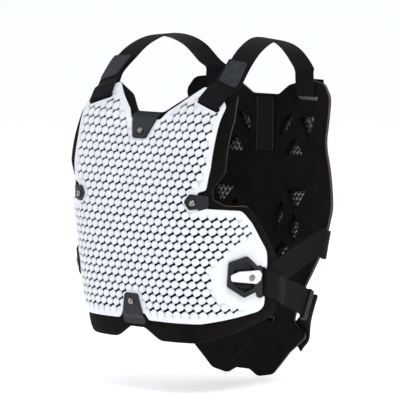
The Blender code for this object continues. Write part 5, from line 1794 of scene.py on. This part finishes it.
@dataclass
class ShoulderStrap:
    """Shoulder strap: through the front plate and back on itself, over the shoulder to the back."""

    side: Side
    bar: float = 0.0200
    back_bar: float = 0.0125
    tail: float = 0.086
    back_tail: float = 0.023
    patch: tuple[float, float, float] = (0.034, 0.042, 0.062)
    patch_round: float = 0.006
    patch_thickness: float = 1.75 * MM
    climb: float = 0.013
    landing: tuple[float, ...] = (0.0, 0.012, 0.024, 0.036)
    route: tuple[tuple[float, float, float], ...] = (
        (1.10, 0.610, 0.921), (1.06, 0.780, 0.970), (1.00, 1.000, 1.000), (0.96, 1.230, 0.994),
        (0.93, 1.440, 0.962), (0.90, 1.620, 0.905))

    def band(self) -> Band:
        """Surface of the strap from the front slot to the back slot."""
        sign = self.side.value
        front, back = FRONT.spot(SHOULDER_SLOT, self.side), BACK.spot(BACK_SLOT, self.side)
        rows = [pattern_row(FRONT, front, sign * SLOT_TILT, along) for along in self.landing]
        slope = Vector((1.0, 0.0, -0.10 * sign)).normalized()
        for spread_share, depth, rise in self.route:
            place = Vector((sign * spread_share * SHOULDER_SPREAD, (depth - 1.0) * SHOULDER_DEPTH,
                            (rise - 1.0) * SHOULDER_RISE))
            rows.append(station_row(place, slope))
        rows += [pattern_row(BACK, back, 0.0, along) for along in reversed(self.landing)]
        return Band(rows, 1.0)

    def build(self) -> None:
        """Weave the strap, lay its patch on the folded end and sew both."""
        band = self.band()
        bar_end = SLOT_WIDTH / 2 + self.bar
        far = band.length - SLOT_WIDTH / 2 - self.back_bar
        path = [(self.tail, TAIL_HEIGHT)]
        climb_start = bar_end + self.climb
        path += [(along, TAIL_HEIGHT) for along in spread(self.tail, climb_start)]
        path.append((climb_start, TAIL_HEIGHT))
        fold = fold_path(self.bar, RUN_HEIGHT, OVER_BAR)
        for along in spread(climb_start, bar_end):
            share = float(smooth_share(climb_start - along, 0.0, self.climb))
            path.append((along, TAIL_HEIGHT + (OVER_BAR - TAIL_HEIGHT) * share))
        path += fold[:1]
        path += [(along, OVER_BAR) for along in spread(fold[0][0], fold[1][0])]
        path += fold[1:-1]
        path += [(along, RUN_HEIGHT) for along in spread(fold[-2][0], fold[-1][0])]
        path.append(fold[-1])
        for along in spread(bar_end, far):
            path.append((along, RUN_HEIGHT - 2 * RUN_HEIGHT * (along - bar_end) / (far - bar_end)))
        last = [(band.length - along, out) for along, out in
                reversed(fold_path(self.back_bar, -RUN_HEIGHT, BACK_OVER))]
        path += last[:1] + [(along, -RUN_HEIGHT) for along in spread(last[0][0], last[1][0])]
        path += last[1:-1] + [(along, BACK_OVER) for along in spread(last[-2][0], last[-1][0])]
        path.append(last[-1])
        stop = band.length - self.back_tail
        path += [(along, BACK_OVER) for along in spread(last[-1][0], stop)] + [(stop, BACK_OVER)]
        columns = np.linspace(-WEB_WIDTH / 2, WEB_WIDTH / 2, 11)
        name = "shoulder_strap_" + self.side.end
        strap, length = weave_strap("shoulder_webbing_" + self.side.end,
                                    [[band.point(s, along, out) for s in columns] for along, out in path])
        settle(strap, Slot.WEBBING, name)
        self.build_patch(band)

    def build_patch(self, band: Band) -> None:
        """Lay the rounded rubber patch on the strap and sew it round."""
        wide, tall, middle = self.patch
        corners = [(i * wide / 2, middle + j * tall / 2, self.patch_round)
                   for i, j in ((1, -1), (1, 1), (-1, 1), (-1, -1))]
        loop = rounded_outline(corners, 0.002, 0.0008)
        inner = spaced_inner([loop], 2.5 * MM, (0.4 * MM, 1.0 * MM, 2.2 * MM))
        foot = TAIL_HEIGHT + WEB_THICKNESS / 2 + WEB_GAP * 0.5

        def wrap(x: Array, y: Array, out: Array) -> Array:
            """Lay flat points on the band at their heights."""
            return np.array([band.point(*place) for place in zip(x, y, out)])

        def outer(points: Array, edge: Array) -> Array:
            """Rounded rim and a field sunk inside it."""
            sunk = 0.3 * MM * smooth_share(edge, 2.2 * MM, 2.9 * MM)
            return foot + self.patch_thickness - rolled(edge, 0.7 * MM) - sunk

        panel = Panel("strap_badge_" + self.side.end, wrap, [loop], inner, outer,
                      lambda points, edge: np.full_like(edge, foot))
        patch = settle(panel.build([PATCH_RUBBER]), Slot.PATCH, "strap_patch_" + self.side.end)
        ring = loop + (np.array((0.0, middle)) - loop) * np.array((0.085, 0.07))
        seam = []
        for x, y in np.concatenate((ring, ring[:1])):
            low_point = band.point(x, y, foot + self.patch_thickness)
            seam.append((low_point, band.point(x, y, foot + 0.01) - low_point))
        settle(sew("badge_stitches_" + self.side.end, [seam], BLACK_THREAD, 2.4 * MM, 1.8 * MM, 0.7 * MM),
               Slot.PATCH)


@dataclass
class SideStrap:
    """V-shaped side strap through the side slot, to the wing and, with a slider, to the ear."""

    side: Side
    bar: float = 0.0048
    upper_slant: float = 0.41
    lower_slant: float = -0.50
    landing: tuple[float, ...] = (0.0, 0.012, 0.024, 0.036)
    wing: tuple[float, float] = (0.970, 0.475)
    wing_lap: float = 0.034
    box_half: float = 0.016
    wing_wrap: tuple[tuple[float, float], ...] = (
        (0.014, -0.012), (0.0085, -0.002), (0.0045, 0.003), (0.0005, BACK_PAD), (-0.008, BACK_PAD),
        (-0.017, BACK_PAD), (-0.034, BACK_PAD))
    ear: tuple[float, float] = (0.66, 0.175)
    ear_lap: float = 0.022
    ear_tilt: float = radians(45)
    slider: tuple[float, float, float] = (1.480, 0.703, 0.119)
    slider_length: float = 0.010

    def slider_centre(self) -> Vector:
        """Centre of the slider on the lower leg."""
        spread_share, depth, rise = self.slider
        return Vector((self.side.value * spread_share * SHOULDER_SPREAD, depth * BACK.depth - SHOULDER_DEPTH,
                       rise * FRONT.height - SHOULDER_RISE))

    def leave(self, slant: float) -> list[list[Vector]]:
        """Rows of a leg where it leaves the slot."""
        x, y = FRONT.spot(SIDE_SLOT, self.side)
        return [pattern_row(FRONT, (x + self.side.value * along, y + slant * along * along / (along + 0.008)),
                            pi / 2, 0.0) for along in self.landing]

    def bands(self) -> tuple[Band, Band, Vector, Vector]:
        """Surfaces of the two legs, and the slider's direction and width."""
        sign = self.side.value
        wing, ear = BACK.spot(self.wing, self.side), BACK.spot(self.ear, self.side)
        upper = self.leave(self.upper_slant)
        for beyond, out in self.wing_wrap:
            upper.append(pattern_row(BACK, (wing[0] + sign * beyond, wing[1]), pi / 2, 0.0, out))
        lower = self.leave(self.lower_slant)
        centre = self.slider_centre()
        start = (lower[-1][1] + lower[-1][2]) / 2
        direction = (centre - start).normalized()
        across = (Vector((0.0, 0.0, 1.0)) - direction * direction.z).normalized()
        for steps in (-2, -1, 0, 1, 2):
            lower.append(station_row(centre + direction * self.slider_length * steps, across))
        lower += [pattern_row(BACK, ear, -sign * self.ear_tilt, along, BACK_PAD)[::-sign]
                  for along in (0.008, -self.ear_lap / 2, -self.ear_lap)]
        return Band(upper, -sign), Band(lower, -sign), direction, across

    def build(self) -> None:
        """Weave both legs as one strap, sew its ends and add the slider."""
        upper, lower, direction, across = self.bands()
        bar_end = SLOT_WIDTH / 2 + self.bar
        columns = np.linspace(-WEB_WIDTH / 2, WEB_WIDTH / 2, 11)
        rows = []
        for along in [upper.length] + spread(upper.length, bar_end):
            rows.append([upper.point(sideways, along, RUN_HEIGHT) for sideways in columns])
        for along, out in reversed(fold_path(self.bar, RUN_HEIGHT, OVER_BAR)):
            band = upper if out < OVER_BAR / 2 else lower
            rows.append([band.point(sideways, along, out) for sideways in columns])
        for along in spread(bar_end, lower.length) + [lower.length]:
            over = 1.0 - float(smooth_share(along, self.landing[-2], self.landing[-1] + self.landing[-2]))
            out = RUN_HEIGHT + (OVER_BAR - RUN_HEIGHT) * over
            rows.append([lower.point(sideways, along, out) for sideways in columns])
        strap, length = weave_strap("side_webbing_" + self.side.end, rows)
        settle(strap, Slot.WEBBING, "side_strap_" + self.side.end)
        top = RUN_HEIGHT + WEB_THICKNESS / 2
        wing_start, ear_start = upper.length - self.wing_lap, lower.length - self.ear_lap
        seams = box_seams(upper, wing_start + 4 * MM, upper.length - 4 * MM, self.box_half, top)
        seams += box_seams(lower, ear_start + 2 * MM, lower.length - 3 * MM, self.box_half, top)
        settle(sew("strap_stitches_" + self.side.end, seams, BLACK_THREAD), Slot.WEBBING)
        self.build_slider(direction, across)

    def build_slider(self, direction: Vector, across: Vector) -> None:
        """Mould the slider as a rounded sleeve with grip ribs."""
        sign = self.side.value
        normal = across.cross(direction) * -sign
        middle = self.slider_centre() + normal * RUN_HEIGHT
        turn = Matrix((across, normal, across.cross(normal))).transposed().to_4x4()
        wide, thick = WEB_WIDTH / 2 + 0.5 * MM, WEB_THICKNESS / 2 + 0.5 * MM
        wall = 2.4 * MM
        outline = rounded_outline([(i * (wide + wall), j * (thick + wall), 1.6 * MM)
                                   for i, j in ((1, -1), (1, 1), (-1, 1), (-1, -1))], 0.002, 0.0006)
        hole = np.array([(x * wide / (wide + wall), y * thick / (thick + wall)) for x, y in outline])
        stations = np.linspace(-0.5, 0.5, 21)
        count = len(outline)
        points, faces = [], []
        for i, station in enumerate(stations):
            rib = 0.35 * MM * (0.5 - 0.5 * cos(2 * pi * (station + 0.5) * 4))
            close = 0.6 * MM * (1.0 - min(1.0, (0.5 - abs(station)) / 0.08))
            drawn_in = np.sign(outline) * np.maximum(np.abs(outline) - rib - close, np.abs(hole) * 0.98)
            points += [(x, y, station * self.slider_length) for x, y in drawn_in]
        for station in (0.5, -0.5):
            points += [(x, y, station * self.slider_length) for x, y in hole]
        for i in range(len(stations) + 1):
            for j in range(count):
                k = (j + 1) % count
                a, b = i * count, (i + 1) * count
                faces.append((a + j, a + k, b + k, b + j))
        end = (len(stations) + 1) * count
        faces += [(end + j, end + (j + 1) % count, (j + 1) % count, j) for j in range(count)]
        spin = np.array(Matrix.Translation(middle) @ turn)
        placed = np.array(points) @ spin[:3, :3].T + spin[:3, 3]
        piece = add_mesh("strap_slider_" + self.side.end, placed, faces, [BLACK_ACETAL])
        settle(piece, Slot.BUCKLE, "slider_" + self.side.end)


# ---------------------------------------------------------------- studio


@dataclass
class Studio:
    """Pale floor, soft lights and the camera."""

    azimuth: float = 40.0
    elevation: float = 5.9
    distance: float = 5.0
    target: tuple[float, float, float] = (0.0, -0.040, -0.220)
    lens: float = 314.7
    shift: tuple[float, float] = (0.018, -0.019)
    floor_gap: float = 0.002
    floor_half: float = 30.0
    lights: tuple[tuple[str, float, float, float, float], ...] = (
        ("key_softbox", 58.0, 48.0, 30.0, 0.7), ("left_softbox", -62.0, 28.0, 11.0, 1.2),
        ("rear_softbox", 200.0, 42.0, 8.0, 1.4))
    light_distance: float = 2.6
    sky: tuple[str, float] = ("#E9EEF5", 0.50)

    def direction(self, azimuth: float, elevation: float) -> Vector:
        """Unit vector from the object towards a place round it."""
        a, e = radians(azimuth), radians(elevation)
        return Vector((sin(a) * cos(e), -cos(a) * cos(e), sin(e)))

    def build_camera(self) -> None:
        """Stand the camera at the product view."""
        data = bpy.data.cameras.new("camera")
        data.lens = self.lens
        data.sensor_width = 36.0
        data.shift_x, data.shift_y = self.shift
        camera = bpy.data.objects.new("camera", data)
        towards = self.direction(self.azimuth, self.elevation)
        camera.location = Vector(self.target) + towards * self.distance
        camera.rotation_euler = towards.to_track_quat("Z", "Y").to_euler()
        bpy.context.scene.collection.objects.link(camera)
        bpy.context.scene.camera = camera

    def add_light(self, name: str, azimuth: float, elevation: float, power: float, size: float) -> None:
        """Stand a soft square light round the object.

        Args:
            name: Name of the light.
            azimuth: Degrees round from the front, towards the wearer's left.
            elevation: Degrees above the object.
            power: Power in watts.
            size: Side of the light in metres.
        """
        data = bpy.data.lights.new(name, "AREA")
        data.energy = power
        data.size = size
        light = bpy.data.objects.new(name, data)
        towards = self.direction(azimuth, elevation)
        light.location = Vector(self.target) + towards * self.light_distance
        light.rotation_euler = towards.to_track_quat("Z", "Y").to_euler()
        bpy.context.scene.collection.objects.link(light)

    def build_floor(self) -> None:
        """Lay a pale floor under the object."""
        level = CAD_BOX[0][2] - self.floor_gap
        corners = ((-1, -1), (1, -1), (1, 1), (-1, 1))
        points = np.array([(x * self.floor_half, y * self.floor_half, level) for x, y in corners])
        floor = add_mesh("studio_floor", points, [(0, 1, 2, 3)], [STUDIO_PAPER], uvs=points[:, :2])

    def build(self) -> None:
        """Set up the whole studio."""
        self.build_floor()
        self.build_camera()
        for light in self.lights:
            self.add_light(*light)
        colour, strength = self.sky
        world = bpy.data.worlds.new("studio")
        world.use_nodes = True
        background = world.node_tree.nodes["Background"]
        background.inputs["Color"].default_value = linear(colour)
        background.inputs["Strength"].default_value = strength
        bpy.context.scene.world = world
        bpy.context.scene.view_settings.view_transform = "Standard"


# ---------------------------------------------------------------- assembly


@dataclass
class FrontHalf:
    """Front plate on its pad, with tabs, rivets and buckles."""

    def build(self) -> None:
        """Build the pieces from the inside out."""
        FrontPad().build()
        FrontShell().build()
        for tab in front_tabs():
            tab.build()
        seat = float(shell_lift(0.0, 0.0)) + SHELL + 2 * LAYER_GAP + 2.0 * MM - 0.3 * MM
        Rivet("neck_rivet", FRONT.spot(NECK_RIVET), seat).build()
        Rivet("hem_rivet", FRONT.spot(HEM_RIVET), seat).build()
        for side in Side:
            Rivet("arm_rivet_" + side.end, FRONT.spot(ARM_RIVET, side), seat).build()
            Buckle(side).build()


@dataclass
class BackHalf:
    """Back pad, impact plate, outer plate and label."""

    def build(self) -> None:
        """Build the pieces from the inside out."""
        BackPad().build()
        BackInsert().build()
        BackShell().build()
        NeckLabel().build()


@dataclass
class Harness:
    """All the webbing."""

    def build(self) -> None:
        """Build the straps of both sides."""
        for side in Side:
            ShoulderStrap(side).build()
            SideStrap(side).build()


def main() -> None:
    """Build the protector and its studio."""
    logging.basicConfig(level=logging.INFO, format="%(message)s")
    FrontHalf().build()
    BackHalf().build()
    Harness().build()
    Studio().build()
    bpy.context.view_layer.update()


if __name__ == "__main__":
    main()
